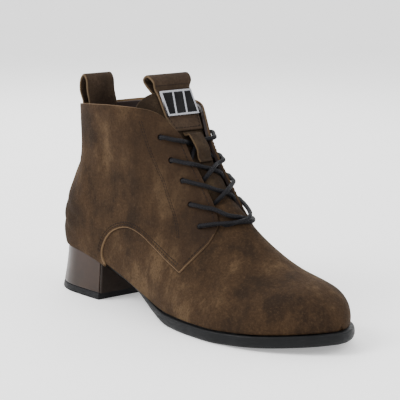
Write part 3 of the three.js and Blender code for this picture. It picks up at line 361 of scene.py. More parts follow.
def shell(name, top, bottom, fields=None, holes=None):
    """Closed sheet between two grids, walled round its border and round the cells left out."""
    rows, columns = top.shape[:2]
    n = rows * columns
    index = np.arange(n).reshape(rows, columns)
    cells = np.stack([index[:-1, :-1], index[1:, :-1], index[1:, 1:], index[:-1, 1:]], -1)
    solid = np.ones(cells.shape[:2], bool) if holes is None else ~holes
    padded = np.pad(solid, 1)
    quads = [cells[solid][:, ::-1], cells[solid] + n]
    for k, (di, dj) in enumerate(((0, -1), (1, 0), (0, 1), (-1, 0))):
        border = solid & ~padded[1 + di:rows + di, 1 + dj:columns + dj]
        a, b = cells[border][:, k], cells[border][:, (k + 1) % 4]
        quads.append(np.stack([a, b, b + n, a + n], -1))
    quads = np.concatenate(quads)
    used, quads = np.unique(quads, return_inverse=True)
    verts = np.concatenate([top.reshape(-1, 3), bottom.reshape(-1, 3)])[used]
    uv = np.tile(arc_lengths(top), (2, 1))[used]
    both = {label: np.stack(layers).ravel()[used] for label, layers in (fields or {}).items()}
    return new_object(name, verts, quads.reshape(-1, 4), 0.9, uv, both)


def ring_faces(count, size):
    """Quads round a stack of rings, with a fan of quads folded over each end."""
    half = np.arange(size // 2 - 1)
    fan = np.stack([half, size - 1 - half, size - 2 - half, half + 1], -1)
    return np.concatenate([grid_faces(count, size, close=True), fan, fan[:, ::-1] + (count - 1) * size])


def closed_rings(name, rings, sharp, fields=None):
    """Closed body through rings of equal length."""
    quads = ring_faces(*rings.shape[:2])
    return new_object(name, rings.reshape(-1, 3), quads, sharp, arc_lengths(rings), fields)


def through(points, count):
    """Even points on a smooth line through a few places (centripetal Catmull-Rom)."""
    p = np.asarray(points, float)
    p = np.concatenate([2 * p[:1] - p[1:2], p, 2 * p[-1:] - p[-2:-1]])
    knots = np.concatenate([[0], np.cumsum(np.linalg.norm(np.diff(p, axis=0), axis=1) ** 0.5 + 1e-9)])
    t = np.concatenate([np.linspace(knots[i], knots[i + 1], 24, endpoint=False)
                        for i in range(1, len(p) - 2)] + [[knots[-2]]])
    i = np.clip(np.searchsorted(knots, t, side="right") - 1, 1, len(p) - 3)
    k0, k1, k2, k3 = knots[i - 1], knots[i], knots[i + 1], knots[i + 2]
    p0, p1, p2, p3 = p[i - 1], p[i], p[i + 1], p[i + 2]

    def mix(a, b, ka, kb):
        f = ((t - ka) / (kb - ka))[:, None]
        return a * (1 - f) + b * f
    a1, a2, a3 = mix(p0, p1, k0, k1), mix(p1, p2, k1, k2), mix(p2, p3, k2, k3)
    b1, b2 = mix(a1, a2, k0, k2), mix(a2, a3, k1, k3)
    return even(mix(b1, b2, k1, k2), count)


def even(line, count):
    """Polyline resampled to even steps."""
    run = run_along(line)
    return at_runs(np.linspace(0, run[-1], count), run, line)


def tube(name, path, radius, sides):
    """Round cord along a path, its ends closed with a small dome."""
    turn = np.linspace(0, 2 * np.pi, sides, endpoint=False)[None, :, None]
    tangent = unit(np.gradient(path, axis=0))
    side = unit(np.cross(tangent, [0.2, 0.1, 1.0]))
    ring = np.cos(turn) * side[:, None] + np.sin(turn) * np.cross(side, tangent)[:, None]
    dome = rounding(np.array([0.02, 0.3, 0.6, 0.85]))
    beyond = radius * np.array([0.6, 0.48, 0.33, 0.18])[:, None]
    start, stop = path[:1] - tangent[:1] * beyond, path[-1:] + tangent[-1:] * beyond[::-1]
    centres = np.concatenate([start, path, stop])
    radii = radius * np.concatenate([dome, np.ones(len(path)), dome[::-1]])
    rings = np.concatenate([np.repeat(ring[:1], 4, 0), ring, np.repeat(ring[-1:], 4, 0)])
    return closed_rings(name, centres[:, None] + rings * radii[:, None, None], sharp=1.4)


def scatter(name, template, quads, origins, axes):
    """One mesh of many copies of a template, each placed by an origin and three axis vectors."""
    copies = np.einsum("vk,nkj->nvj", template, axes) + origins[:, None]
    faces = quads[None] + (np.arange(len(origins)) * len(template))[:, None, None]
    return new_object(name, copies.reshape(-1, 3), faces.reshape(-1, 4), sharp=1.0)


print("tools ready")

# %% [markdown]
# ## Outlines of the panels
#
# On paper a shoe pattern is a set of lines drawn on the side of the last. The collar, the facing
# with its eyelets, the front of the quarter and the seam that sweeps under it are drawn here in
# the side view, again as shares. `on_last` then finds where each place of a line lies on the
# surface, once for the outer (lateral) side and once for the inner (medial) side.


# %% Lines in the side view
def side_line(rows):
    rows = np.asarray(rows, float)
    return np.stack([HEEL_POINT_X + rows[:, 0] * LAST_LENGTH, rows[:, 1] * COLLAR_HEIGHT], -1)


COLLAR_LINE = side_line([
    (0.041, 0.990), (0.114, 1.013), (0.200, 1.031), (0.300, 1.042), (0.350, 1.040),
    (0.395, 1.027), (0.424, 0.995), (0.444, 0.955), (0.462, 0.920),
])
FACING_LINE = side_line([
    (0.462, 0.920), (0.487, 0.854), (0.512, 0.786), (0.547, 0.705), (0.577, 0.630),
    (0.600, 0.570), (0.619, 0.508), (0.6225, 0.465),
])
FRONT_LINE = side_line([(0.6225, 0.465), (0.621, 0.425), (0.610, 0.377), (0.578, 0.274)])
LOWER_SEAM = side_line([
    (0.578, 0.274), (0.514, 0.315), (0.444, 0.369), (0.399, 0.405), (0.346, 0.425),
    (0.301, 0.406), (0.269, 0.366), (0.245, 0.295), (0.240, 0.249), (0.249, 0.198),
])
EYELETS = side_line([(0.4245, 0.901), (0.460, 0.792), (0.500, 0.697), (0.5365, 0.588), (0.579, 0.491)])
EYELET_RADIUS = 2.0

# Soft folds: two ends as shares, half width and height in mm, and the side (0 is both)
CREASES = [
    (0.045, 0.86, 0.085, 0.60, 5.0, -1.20, LATERAL),
    (0.120, 0.90, 0.150, 0.55, 7.0, 0.83, LATERAL),
    (0.020, 0.50, 0.120, 0.42, 3.5, -0.90, LATERAL),
    (0.015, 0.40, 0.110, 0.33, 3.0, -0.83, LATERAL),
    (0.215, 0.93, 0.270, 0.62, 8.0, -0.90, LATERAL),
    (0.330, 0.86, 0.390, 0.60, 7.0, 0.68, LATERAL),
    (0.380, 0.62, 0.480, 0.53, 5.0, -0.75, LATERAL),
    (0.060, 0.88, 0.120, 0.58, 6.0, -1.05, MEDIAL),
    (0.190, 0.62, 0.300, 0.52, 5.0, -0.68, MEDIAL),
    (0.020, 0.46, 0.130, 0.38, 3.5, -0.83, MEDIAL),
    (0.655, 0.36, 0.690, 0.22, 6.0, -0.68, 0),
    (0.715, 0.34, 0.745, 0.20, 6.0, 0.52, 0),
]


def relief(points, side):
    """Height of the folds at points of the last: a soft ridge or trough round each line segment."""
    place = points[..., [0, 2]] - [HEEL_POINT_X, 0]
    out = 0.0
    for x0, z0, x1, z1, width, height, where in CREASES:
        a, b = np.array([(x0, z0), (x1, z1)]) * [LAST_LENGTH, COLLAR_HEIGHT]
        t = np.clip((place - a) @ (b - a) / ((b - a) @ (b - a)), 0, 1)
        d = np.linalg.norm(place - a - t[..., None] * (b - a), axis=-1)
        here = 1.0 if where == 0 else (np.asarray(side) == where)
        out = out + here * height * np.exp(-((d / width) ** 2)) * (1 - 0.5 * (2 * t - 1) ** 2)
    return out


def collar_start(side, taus):
    """Where the collar line crosses each tau near the back, by bisection in s."""
    height = curve(COLLAR_LINE[:5, 0], COLLAR_LINE[:5, 1])
    low, high = np.full(len(taus), 0.8), np.full(len(taus), 0.999)
    for _ in range(30):
        s = (low + high) / 2
        p = last_point(s, taus, side)
        above = p[:, 2] > height(p[:, 0])
        high, low = np.where(above, s, high), np.where(above, low, s)
    return np.stack([(low + high) / 2, taus], -1)


print("folds:", len(CREASES), " eyelets a side:", len(EYELETS))

# %% [markdown]
# ## The quarters
#
# The quarters are the two big panels round the heel and ankle. Each one becomes a grid stretched
# between a bottom line (feather line, then the sweeping seam) and a top line (collar, then the
# facing). Both layers of the leather follow the same grid. Near a cut edge the grid is finer and
# the surface rolls down, so that the edge catches the light. The five lace holes are punched by
# leaving out a few cells and snapping their corners to a circle.


# %% Grid of a quarter
def spaced(count, length, fine_start=True, fine_end=True):
    """Shares from 0 to 1, closer together near the ends, where an edge rolls over."""
    steps = np.array([0.0, 0.10, 0.24, 0.42, 0.68, 1.05, 1.6]) / length
    low = steps if fine_start else steps[:1]
    high = (1 - steps)[::-1] if fine_end else np.array([1.0])
    return np.concatenate([low[:-1], np.linspace(low[-1], high[0], count), high[1:]])


def surface_line(line, side, count):
    """Side view line as (s, tau) pairs."""
    return np.stack(on_last(through(line, count), side), -1)


def sample(pairs, side, shares):
    """Pairs read off at shares of their length on the last."""
    run = run_along(last_point(*pairs.T, side))
    return at_runs(shares * run[-1], run, pairs)


def quarter_lines(side):
    """Borders of a quarter as (s, tau): feather line, sweeping seam, collar and facing, front."""
    seam = surface_line(LOWER_SEAM[::-1], side, 160)
    seam[0, 1] = 0.0
    feather = np.stack([np.linspace(HEEL_SECTION, seam[0, 0], 60), np.zeros(60)], -1)
    back = collar_start(side, np.linspace(0, 0.55, 50))
    rest = surface_line(COLLAR_LINE[3:], side, 80)
    rest = rest[rest[:, 1] > back[-1, 1] + 0.02]
    facing = surface_line(FACING_LINE, side, 120)
    front = surface_line(FRONT_LINE[::-1], side, 60)
    return feather, seam, np.concatenate([back, rest, facing[1:]]), front


def quarter_grid(side):
    """(s, tau) grid of a quarter: straight between its bottom and top lines, bent to its front."""
    feather, seam, upper_line, front = LINES[side]
    first, second = spaced(34, 60, fine_end=False), spaced(112, 125, fine_start=False)
    bottom = np.concatenate([sample(feather, side, first), sample(seam, side, second)[1:]])
    shares = np.concatenate([first * HEEL_SHARE, HEEL_SHARE + second[1:] * (1 - HEEL_SHARE)])
    v = spaced(86, 90)
    grid = bottom * (1 - v[:, None, None]) + sample(upper_line, side, shares) * v[:, None, None]
    pull = np.linspace(0, 1, grid.shape[1])[:, None] ** 10
    return np.clip(grid + pull * (sample(front, side, v) - grid[:, -1])[:, None], 0, 1)


def border_distance(points, sides):
    """Distance to chosen borders along the grid lines. sides: bottom, top, first, last."""
    dv = np.linalg.norm(np.diff(points, axis=0), axis=-1)
    du = np.linalg.norm(np.diff(points, axis=1), axis=-1)
    runs = {
        "bottom": np.pad(np.cumsum(dv, 0), ((1, 0), (0, 0))),
        "top": np.pad(np.cumsum(dv[::-1], 0)[::-1], ((0, 1), (0, 0))),
        "first": np.pad(np.cumsum(du, 1), ((0, 0), (1, 0))),
        "last": np.pad(np.cumsum(du[:, ::-1], 1)[:, ::-1], ((0, 0), (0, 1))),
    }
    return np.min([runs[name] for name in sides], 0)


def line_distance(points, line):
    """Shortest distance from points to a polyline in space."""
    step = np.diff(line, axis=0)
    rel = points[..., None, :] - line[:-1]
    t = np.clip((rel * step).sum(-1) / (step * step).sum(-1), 0, 1)
    return np.linalg.norm(rel - t[..., None] * step, axis=-1).min(-1)


def seam_distance(points, side):
    """Distance to the cut edge over the vamp: sweeping seam, then the front edge."""
    _, seam, _, front = LINES[side]
    border = np.concatenate([seam[2:], front[2:]])[::2]
    return line_distance(points, last_point(*border.T, side))


def roll(distance, radius):
    """How far a rounded edge lies below the face at a distance from the edge."""
    d = np.clip(distance, 0, radius)
    return radius - np.sqrt(np.clip(radius**2 - (radius - d) ** 2, 0, None))


def off_axis(points, centre, axis):
    """Offsets of points from a line in space, square to it."""
    rel = points - centre
    return rel - (rel @ axis)[..., None] * axis


def punched(points, centre, axis, open_radius):
    """Moves grid points round a hole onto its circle; returns points and the open cells."""
    flat = off_axis(points, centre, axis)
    r = np.maximum(np.linalg.norm(flat, axis=-1), 1e-6)[..., None]
    middle = (points[:-1, :-1] + points[1:, :-1] + points[:-1, 1:] + points[1:, 1:]) / 4
    near = np.abs((middle - centre) @ axis) < 8
    opened = (np.linalg.norm(off_axis(middle, centre, axis), axis=-1) < open_radius) & near
    touched = np.zeros(points.shape[:2], bool)
    for rows in (slice(None, -1), slice(1, None)):
        for columns in (slice(None, -1), slice(1, None)):
            touched[rows, columns] |= opened
    return np.where(touched[..., None], points + flat * (EYELET_RADIUS / r - 1), points), opened


def laced(top, bottom, side, open_radius):
    """Both layers of a panel with the lace holes punched, and the cells that they leave open."""
    holes = False
    for centre, axis in HOLES[side]:
        top, opened = punched(top, centre, axis, open_radius)
        bottom, _ = punched(bottom, centre, axis, open_radius)
        holes = holes | opened
    return top, bottom, holes


def zip_share(points):
    """1 inside the groove that the zip lies in, 0 outside."""
    across = 1 - smooth(ZIP_HALF - 0.5, ZIP_HALF + 0.5, np.abs(points[..., 0] - ZIP_X))
    return across * smooth(ZIP_FOOT - 3, ZIP_FOOT - 1.5, points[..., 2])


EDGE_ROLL = 0.5
HEEL_SHARE = 0.40  # of the columns, those behind the seam
FAR = 9.0
# The field "hole" paints shade on suede below about 2.7: how it starts and grows with the distance in mm
SHADE_START, FACING_SHADE, SEAM_SHADE = 2.05, 0.011, 0.42
ZIP_X, ZIP_FOOT, ZIP_HALF, ZIP_DEPTH = 26.0, 46.0, 3.3, 0.95
SIDES = {"lateral": LATERAL, "medial": MEDIAL}
LINES = {side: quarter_lines(side) for side in SIDES.values()}
HOLES, quarter_grids, quarters, linings = {}, {}, [], []
for label, side in SIDES.items():
    hole_s, hole_tau = on_last(EYELETS, side)
    HOLES[side] = list(zip(last_point(hole_s, hole_tau, side), last_normal(hole_s, hole_tau, side)))
    quarter_grids[side] = quarter_grid(side)
    s, tau = np.moveaxis(quarter_grids[side], -1, 0)
    base = last_point(s, tau, side)
    fold = relief(base, side)
    lower = seam_distance(base, side)
    cut = np.minimum(border_distance(base, ("top",)) + 0.3, lower)
    edge = np.minimum(border_distance(base, ("top", "first")), lower)
    groove = ZIP_DEPTH * zip_share(base) if side == MEDIAL else 0.0
    top = grown(s, tau, side, PANEL - roll(edge, EDGE_ROLL) + fold - groove)
    bottom = grown(s, tau, side, np.minimum(fold, 0) - groove * 0.3)
    # Painted shade on the quarter: darker round each lace hole and grading darker towards the facing
    rims = [np.linalg.norm(off_axis(base, *hole), axis=-1) for hole in HOLES[side]]
    facing = last_point(*surface_line(FACING_LINE, side, 40).T, side)
    painted_facing_shade = SHADE_START + FACING_SHADE * line_distance(base, facing)
    hole = np.minimum(np.min(rims, 0), painted_facing_shade)
    top, bottom, holes = laced(top, bottom, side, 1.55)
    fields = {"edge": (cut, np.zeros(s.shape)), "hole": (hole, hole)}
    quarters.append(shell(f"quarter_{label}", top, bottom, fields, holes))
    print("quarter", label, "quads", len(quarters[-1].data.polygons), "open cells", int(holes.sum()))

# %% [markdown]
# ## The lining and the vamp
#
# Lining leather covers the inside, glued to the quarters and cut a little lower at the collar, so
# that a thin line of raw suede shows all along it. The vamp is the front panel. It runs in one
# piece over the toe from side to side and disappears under the quarters, and between the facings
# it dips to meet the tongue.

# %% Lining of the quarters
for label, side in SIDES.items():
    grid = quarter_grids[side][:, ::2]
    s, tau = np.moveaxis(grid[:1] + (grid - grid[:1]) * 0.992, -1, 0)
    base = last_point(s, tau, side)
    dent = np.minimum(relief(base, side), 0)
    edge = border_distance(base, ("bottom", "top", "first", "last"))
    layers = grown(s, tau, side, dent - 0.05), grown(s, tau, side, dent - WALL + roll(edge, 0.5))
    top, bottom, holes = laced(*layers, side, 1.3)
    linings.append(shell(f"lining_{label}", top, bottom, None, holes))
    print("lining", label, "quads", len(linings[-1].data.polygons))

# %% Vamp
VAMP_END, VAMP_DIP = 0.64, 3.5
vamp_s = np.concatenate([[0.0015, 0.004, 0.008, 0.014], np.linspace(0.022, VAMP_END, 150)])
s, w = np.meshgrid(vamp_s, np.linspace(-1, 1, 141), indexing="ij")
tau, side = 1 - np.abs(w), np.where(w < 0, LATERAL, MEDIAL)
base = last_point(s, tau, side)
face = relief(base, side) - VAMP_DIP * smooth(0.475, 0.55, s) * smooth(0.70, 0.80, tau)
feather_run = border_distance(base, ("first", "last"))
top = grown(s, tau, side, face - 0.8 * roll(feather_run, 1.4))
bottom = grown(s, tau, side, face - WALL + 0.1)
far = np.full(s.shape, FAR)
# Painted shadow on the vamp: darker within about 1.5 mm of the quarters' seam and front edges
shade = far.copy()
for one in SIDES.values():
    half = (side == one) & (s > 0.35)
    shade[half] = SHADE_START + SEAM_SHADE * seam_distance(base[half], one)
vamp = shell("vamp", top, bottom, {"edge": (far, far), "hole": (shade, far)})
print("vamp quads", len(vamp.data.polygons))

# %% [markdown]
# ## The tongue
#
# The tongue is the last's own front, shrunk to lie under the facings. Higher up it flattens, as
# leather does under a strap, and leans back over the instep. It has two soft layers and a turned
# edge, so its rim is round.

# %% Tongue
TONGUE_FRONT = WALL + 0.7
TONGUE_THICKNESS = 2.2
TONGUE_FLAT_HALF = 15.0
TONGUE_LEAN = 4.5
TONGUE_EDGE = 0.27
TONGUE_WIDEN = 0.10
DENSE = np.linspace(0, 1, 4001)
TONGUE_LOW, TONGUE_HIGH = np.interp([-0.655, -0.411], -section["top"](DENSE), DENSE)


def tau_at(s, y, side):
    """Where each section is a given distance from the middle plane, near the ridge."""
    s, y, side = np.broadcast_arrays(np.asarray(s, float), np.abs(y), side)
    low, high = np.full(s.shape, 0.5), np.ones(s.shape)
    for _ in range(24):
        middle = (low + high) / 2
        wide = np.abs(last_point(s, middle, side)[..., 1]) > y
        low, high = np.where(wide, middle, low), np.where(wide, high, middle)
    return high


def tongue_point(s, tau, side, depth):
    """The last's front shrunk by a depth, flattened across and leaning back."""
    s, tau, side, depth = np.broadcast_arrays(np.asarray(s, float), tau, side, depth)
    p = grown(s, tau, side, -depth)
    nose = grown(s, np.ones(s.shape), side, -depth)
    at_flat = grown(s, tau_at(s, TONGUE_FLAT_HALF, side), side, -depth)
    flat = smooth(0.70 * COLLAR_HEIGHT, 0.92 * COLLAR_HEIGHT, nose[..., 2])
    lean = TONGUE_LEAN * smooth(0.885 * COLLAR_HEIGHT, 1.01 * COLLAR_HEIGHT, nose[..., 2])
    room = nose[..., 0] - at_flat[..., 0]
    p[..., 0] += flat * (np.minimum(nose[..., 0] - p[..., 0], room) - room) - lean
    return p


k, v = np.meshgrid(spaced(80, 105, fine_start=False), 2 * spaced(52, 56) - 1, indexing="ij")
s = TONGUE_LOW + (TONGUE_HIGH - TONGUE_LOW) * k * (1 - 0.05 * v * v - 0.10 * v**6)
tau = 1 - (TONGUE_EDGE + TONGUE_WIDEN * k * k) * np.abs(v)
side = np.where(v < 0, LATERAL, MEDIAL)
rim = border_distance(tongue_point(s, tau, side, TONGUE_FRONT), ("top", "first", "last"))
soft = 0.9 * roll(rim, 1.0)
far = np.full(s.shape, FAR)
top = tongue_point(s, tau, side, TONGUE_FRONT + soft)
bottom = tongue_point(s, tau, side, TONGUE_FRONT + TONGUE_THICKNESS - soft)
tongue = shell("tongue_panel", top, bottom, {"edge": (rim, rim), "hole": (far, far)})
print("tongue quads", len(tongue.data.polygons))

# %% [markdown]
# ## Straps and loops
#
# A strap is a band carried along a path in the side view. Its section is a flat bar with round
# edges. The tongue strap climbs the front of the tongue, folds over its top as a finger loop and
# comes down behind. The heel strap does the same over the collar, and a narrow keeper stands over
# the tongue below the tongue strap.


# %% Bands
def band(name, places, breadths, thickness, bow=0.0, count=110):
    """Band along a path in the side view; bow bends its edges back, as on a round boot."""
    extra = [np.broadcast_to(value, len(places)) for value in (breadths, bow)]
    line = through(np.column_stack([places, *extra]), count)
    run = unit(np.gradient(line[:, :2], axis=0))
    out = np.stack([run[:, 1], -run[:, 0]], -1)
    half, mean = line[:, 2] / 2, line[:, 2].mean() / 2
    e = np.concatenate([[0.0, 0.06, 0.2, 0.45, 0.8, 1.4], np.linspace(2.4, mean, 6)[:-1]]) / mean
    a = np.concatenate([e - 1, [0], 1 - e[::-1]])
    from_edge = mean * (1 - np.abs(a))
    depth = thickness / 2 * np.maximum(rounding(from_edge / (thickness * 0.45)), 0.002**0.5)
    y = half[:, None] * a
    back = line[:, 3:4] * back_bow(y, line[:, 1:2])
    step = run_along(line[:, :2])[-1] / (count - 1)
    from_end = np.minimum(np.arange(count), np.arange(count)[::-1]) * step
    thin = rounding((from_end + 0.12) / 0.9)[:, None]

    def layer(sign):
        reach = sign * depth * thin
        x, z = (line[:, k:k + 1] + out[:, k:k + 1] * reach for k in (0, 1))
        return np.stack([x + back, y, z], -1)
    edge = np.tile(from_edge, (count, 2))
    rings = np.concatenate([layer(1), layer(-1)[:, ::-1]], 1)
    return closed_rings(name, rings, 1.2, {"edge": edge, "hole": np.full(edge.shape, FAR)}), line, out


def back_bow(y, z):
    """How far the round back of the shaft falls away at a distance from its middle line."""
    half = SHAFT_BREADTH * shaft["breadth"](shaft_up(z))
    return SHAFT_ROUND * (1 - np.sqrt(np.clip(1 - (y / half) ** 2, 0, 1)))


def tongue_section(z):
    """Section of the tongue whose middle reaches a height."""
    s = np.linspace(TONGUE_LOW, TONGUE_HIGH, 200)
    return np.interp(z, tongue_point(s, 1.0, MEDIAL, TONGUE_FRONT)[:, 2], s)


def tongue_stops(zs, depth):
    """Side view places on the tongue's middle line at a depth below the last."""
    return tongue_point(tongue_section(zs), 1.0, MEDIAL, depth)[:, [0, 2]]


STRAP, SEAT, KEEPER = 1.8, 0.9, 1.3
TONGUE_CREST = 147.0
PULL_TOP = 157.0 - STRAP / 2
front_depth = TONGUE_FRONT - SEAT - STRAP / 2
back_depth = TONGUE_FRONT + TONGUE_THICKNESS + SEAT + STRAP / 2
crest, behind = (tongue_stops([TONGUE_CREST], depth) for depth in (front_depth, back_depth))
middle = (crest[0, 0] + behind[0, 0]) / 2 - 3
places = np.concatenate([
    tongue_stops(np.linspace(120.5, 143, 7), front_depth), crest,
    [[middle + 5, PULL_TOP - 3.4], [middle, PULL_TOP], [middle - 5, PULL_TOP - 3.4]],
    behind, tongue_stops(np.linspace(143, 131, 4), back_depth),
])
front_breadths = curve([120, 130, 142, 157], [22, 28, 28.5, 35.5])(places[:11, 1])
breadths = np.concatenate([front_breadths, [28, 20, 18, 18, 18]])
tongue_pull, pull_line, pull_out = band("tongue_strap", places, breadths, STRAP)

KEEPER_RISE = 6.5
rises = np.array([0, 0.1, 0.8, 1, 1.04, 1.04, 1, 0.9, 0.1, 0])[:, None]
heights = np.linspace(102, 119.5, len(rises))
low, lifted = (tongue_stops(heights, TONGUE_FRONT - SEAT - KEEPER / 2 - rise) for rise in (0, KEEPER_RISE))
keeper, _, _ = band("keeper", low + (lifted - low) * rises, 11.0, KEEPER, -0.9)

to_outside, to_inside = -PANEL - SEAT - STRAP / 2, WALL + SEAT + 0.1 + STRAP / 2
collar_z = COLLAR_LINE[0, 1]
loop_top = 150.5 - STRAP / 2
outer_x, inner_x = back_x(collar_z) + to_outside, back_x(collar_z) + to_inside
centre_x = (outer_x + inner_x) / 2
bulge = 3.25 + STRAP / 2
low_z, in_z = np.linspace(96.5, collar_z - 4, 6), np.linspace(collar_z - 4, collar_z - 20, 5)
places = np.concatenate([
    np.stack([back_x(low_z) + to_outside, low_z], -1),
    [[outer_x, collar_z + 1], [centre_x - bulge, collar_z + 9], [centre_x - bulge * 0.75, loop_top - 3],
     [centre_x, loop_top], [centre_x + bulge * 0.75, loop_top - 3], [centre_x + bulge, collar_z + 9],
     [inner_x, collar_z + 1]],
    np.stack([back_x(in_z) + to_inside, in_z], -1),
])
bow = 1 - smooth(collar_z, collar_z + 10, places[:, 1])
heel_pull, heel_line, _ = band("heel_strap", places, 24.0, STRAP, bow, 130)
print("straps:", tongue_pull.name, keeper.name, heel_pull.name)

# %% [markdown]
# ## The lace
#
# One round cord laces the boot. It starts inside the top hole, crosses to the next hole on the
# other side, comes up through it, and so on down to a straight bar at the bottom and back up.
# Every strand comes out of its hole, runs over the facing, drops over the facing's edge to the
# tongue and slips under the opposite facing. Where two strands cross, one is lifted over the other.

# %% Lace path
LACE = 1.45
OVER = PANEL + LACE + 0.15
facing_x = curve(*FACING_LINE[::-1, ::-1].T)


def on_side(x, z, side, grow):
    """Point of the quarter at a side view place, a distance off the last."""
    s, tau = on_last([[x, z]], side)
    return grown(s, tau, side, grow)[0]


def on_tongue(z, y, rise):
    """Point over the tongue between the facings, a distance above its front."""
    s = np.atleast_1d(tongue_section(z))
    side = LATERAL if y < 0 else MEDIAL
    tau = tau_at(s, y, side) if abs(y) >= 1 else 1.0
    p = tongue_point(s, tau, side, TONGUE_FRONT - rise)[0]
    return np.array([p[0], y, p[2]])


def on_vamp(z, y, rise):
    """Point over the vamp's top edge, at a height and a distance from the middle."""
    s, side = np.linspace(0.38, 0.62, 240), LATERAL if y < 0 else MEDIAL
    line = grown(s, tau_at(s, y, side), side, rise)
    return at_runs(z, line[:, 2], line)


def strand(row, side):
    """Places of one strand from a hole down to the hole below it on the other side."""
    (x0, z0), (x1, z1) = EYELETS[row:row + 2]
    middle, reach = (z0 + z1) / 2, (z0 - z1) * 0.17
    lift = 0.2 if side == LATERAL else 2.2
    lower = on_vamp if row == 3 else on_tongue
    z_out, z_in = z0 * 0.62 + middle * 0.38, z0 * 0.12 + z1 * 0.88
    x_out, x_in = facing_x([z_out, z_in])
    return [
        on_side(x0, z0, side, -2.4), on_side(x0 + 0.5, z0, side, OVER - 1.3),
        on_side(x0 + 3.2, z0 - 0.2, side, OVER + 0.1),
        on_side((x0 + x_out) / 2 + 1.0, (z0 + z_out) / 2, side, OVER),
        on_side(x_out - 0.8, z_out + 0.2, side, OVER + 0.1),
        lower(middle + reach, side * 6.0, LACE + 1.2 + lift * 0.6),
        lower(middle, 0.0, LACE + 0.1 + lift),
        lower(middle - reach, -side * 5.0, LACE + 0.2 + lift * 0.35),
        on_side(x_in - 1.2, z_in, -side, -WALL - 0.9),
        on_side((x1 + x_in) / 2, (z1 + z_in) / 2, -side, -WALL - 1.5),
        on_side(x1 + 0.5, z1, -side, -WALL - 1.3),
    ]


def half_bar(side):
    """Places from the lowest hole of a side to the middle of the straight bar."""
    x, z = EYELETS[-1]
    return [
        on_side(x, z, side, OVER - 1.3), on_side(x + 3.0, z + 0.3, side, OVER + 0.1),
        on_side(facing_x(z) - 1.0, z + 1.6, side, OVER + 0.2),
        on_vamp(z + 4.2, side * 6.0, LACE + 0.9),
    ]


def descent(side):
    """Places of all strands from the top hole of a side down to the lowest hole."""
    return [place for row in range(4) for place in strand(row, side * (-1) ** row)]


middle_of_bar = on_vamp(EYELETS[-1, 1] + 4.6, 0.0, LACE + 0.6)
places = descent(LATERAL) + half_bar(LATERAL) + [middle_of_bar]
places += half_bar(MEDIAL)[::-1] + descent(MEDIAL)[::-1]
lace_path = through(np.array(places), 1100)
lace = tube("lace", lace_path, LACE, sides=12)
print("lace length, mm:", round(float(run_along(lace_path)[-1])))

# %% [markdown]
# ## Sole, heel and insole
#
# The outsole is a plate lofted across the foot: each ring follows the feather line, offset by how
# far the sole stands out, with a soft lip. Under the arch it thins out and tucks under the upper.
# The heel block is lofted downwards from the same outline, flaring back, and its breast is covered
# by a dark flap.


# %% Sole and heel
def feather_at(t, side):
    """Plan point of the feather line at a length share."""
    t = np.clip(t, 0, 1)
    ends = rounding(t * LAST_LENGTH / HEEL_ROUND, 2.2) * rounding((1 - t) * LAST_LENGTH / TOE_ROUND, 2.15)
    column = plan["lateral"](t) if side == LATERAL else plan["medial"](t)
    y = plan["middle"](t) * BALL_BREADTH + side * column * BALL_BREADTH * ends
    return np.stack([HEEL_POINT_X + t * LAST_LENGTH, y], -1)


def inset_feather(t, side, inset):
    """The feather line moved inwards by an even distance."""
    t, inset = np.broadcast_arrays(np.asarray(t, float), np.asarray(inset, float))
    run = unit(feather_at(t + STEP, side) - feather_at(t - STEP, side))
    p = feather_at(t, side)
    x = p[..., 0] + side * run[..., 1] * inset
    y = p[..., 1] - side * run[..., 0] * inset
    back, front = t <= 0, t >= 1
    x = np.where(back, HEEL_POINT_X + inset, np.where(front, TOE_X - inset, x))
    return np.stack([x, np.where(back | front, p[..., 1], y)], -1)


def foot_plate(name, shares, inset, height, sharp):
    """Plate under the foot: one ring at each share, its edge given by inset and by height(x)."""
    halves = []
    for side in (LATERAL, MEDIAL):
        p = inset_feather(shares[:, None], side, inset)
        halves.append(np.concatenate([p, height(p[..., 0])[..., None]], -1))
    return closed_rings(name, np.concatenate([halves[0], halves[1][:, ::-1]], 1), sharp)


END = np.array([0, 0.0006, 0.0018, 0.004, 0.008, 0.014, 0.022, 0.033, 0.047, 0.065, 0.085, 0.1])
WAIST = 3.6
GAP = 0.3
HEEL_BREAST_X = 20.0
HEEL_FLARE_BACK, HEEL_FLARE_SIDE = 8.0, 1.6
FLAP = 2.6
TOP_PIECE = 4.8
sole_edge = table(["at", "beyond", "thick"], [
    (0.20, -4.0, 0.0), (0.34, -4.0, 0.0), (0.46, 0.5, 0.45),
    (0.56, 2.4, 1.0), (0.80, 2.8, 1.0), (1.00, 3.6, 1.0),
])
sole_start = share_of(HEEL_BREAST_X + GAP + FLAP / 2)
shares = np.concatenate([np.linspace(sole_start, 0.885, 64), (1 - END)[::-1]])
full = sole_edge["thick"](shares)[:, None]
angle = np.linspace(-0.5, 0.5, 11) * np.pi
thick = WAIST * (1 - full) + SOLE_THICKNESS * full
lip = (np.cos(angle) - 1) * (0.9 + 1.3 * full * (angle < 0))
level = (np.sin(angle) + 1) / 2
outsole = foot_plate("outsole_body", shares, -sole_edge["beyond"](shares)[:, None] - lip,
                     lambda x: seat(x) - thick + (thick - GAP / 2) * level, 0.8)


def heel_outline(share, side, down):
    """Heel outline at a depth: the feather line behind the breast, flaring out to the floor."""
    p = inset_feather(share * share_of(HEEL_BREAST_X), side, 0.0)
    flare, length, wide = down**1.5, HEEL_BREAST_X - HEEL_POINT_X, np.abs(p[..., 1])
    x = HEEL_BREAST_X - (HEEL_BREAST_X - p[..., 0]) * (1 + HEEL_FLARE_BACK * flare * (1 - share) / length)
    return np.stack([x, side * (wide + HEEL_FLARE_SIDE * flare * np.clip(wide / HEEL_ROUND, 0, 1))], -1)


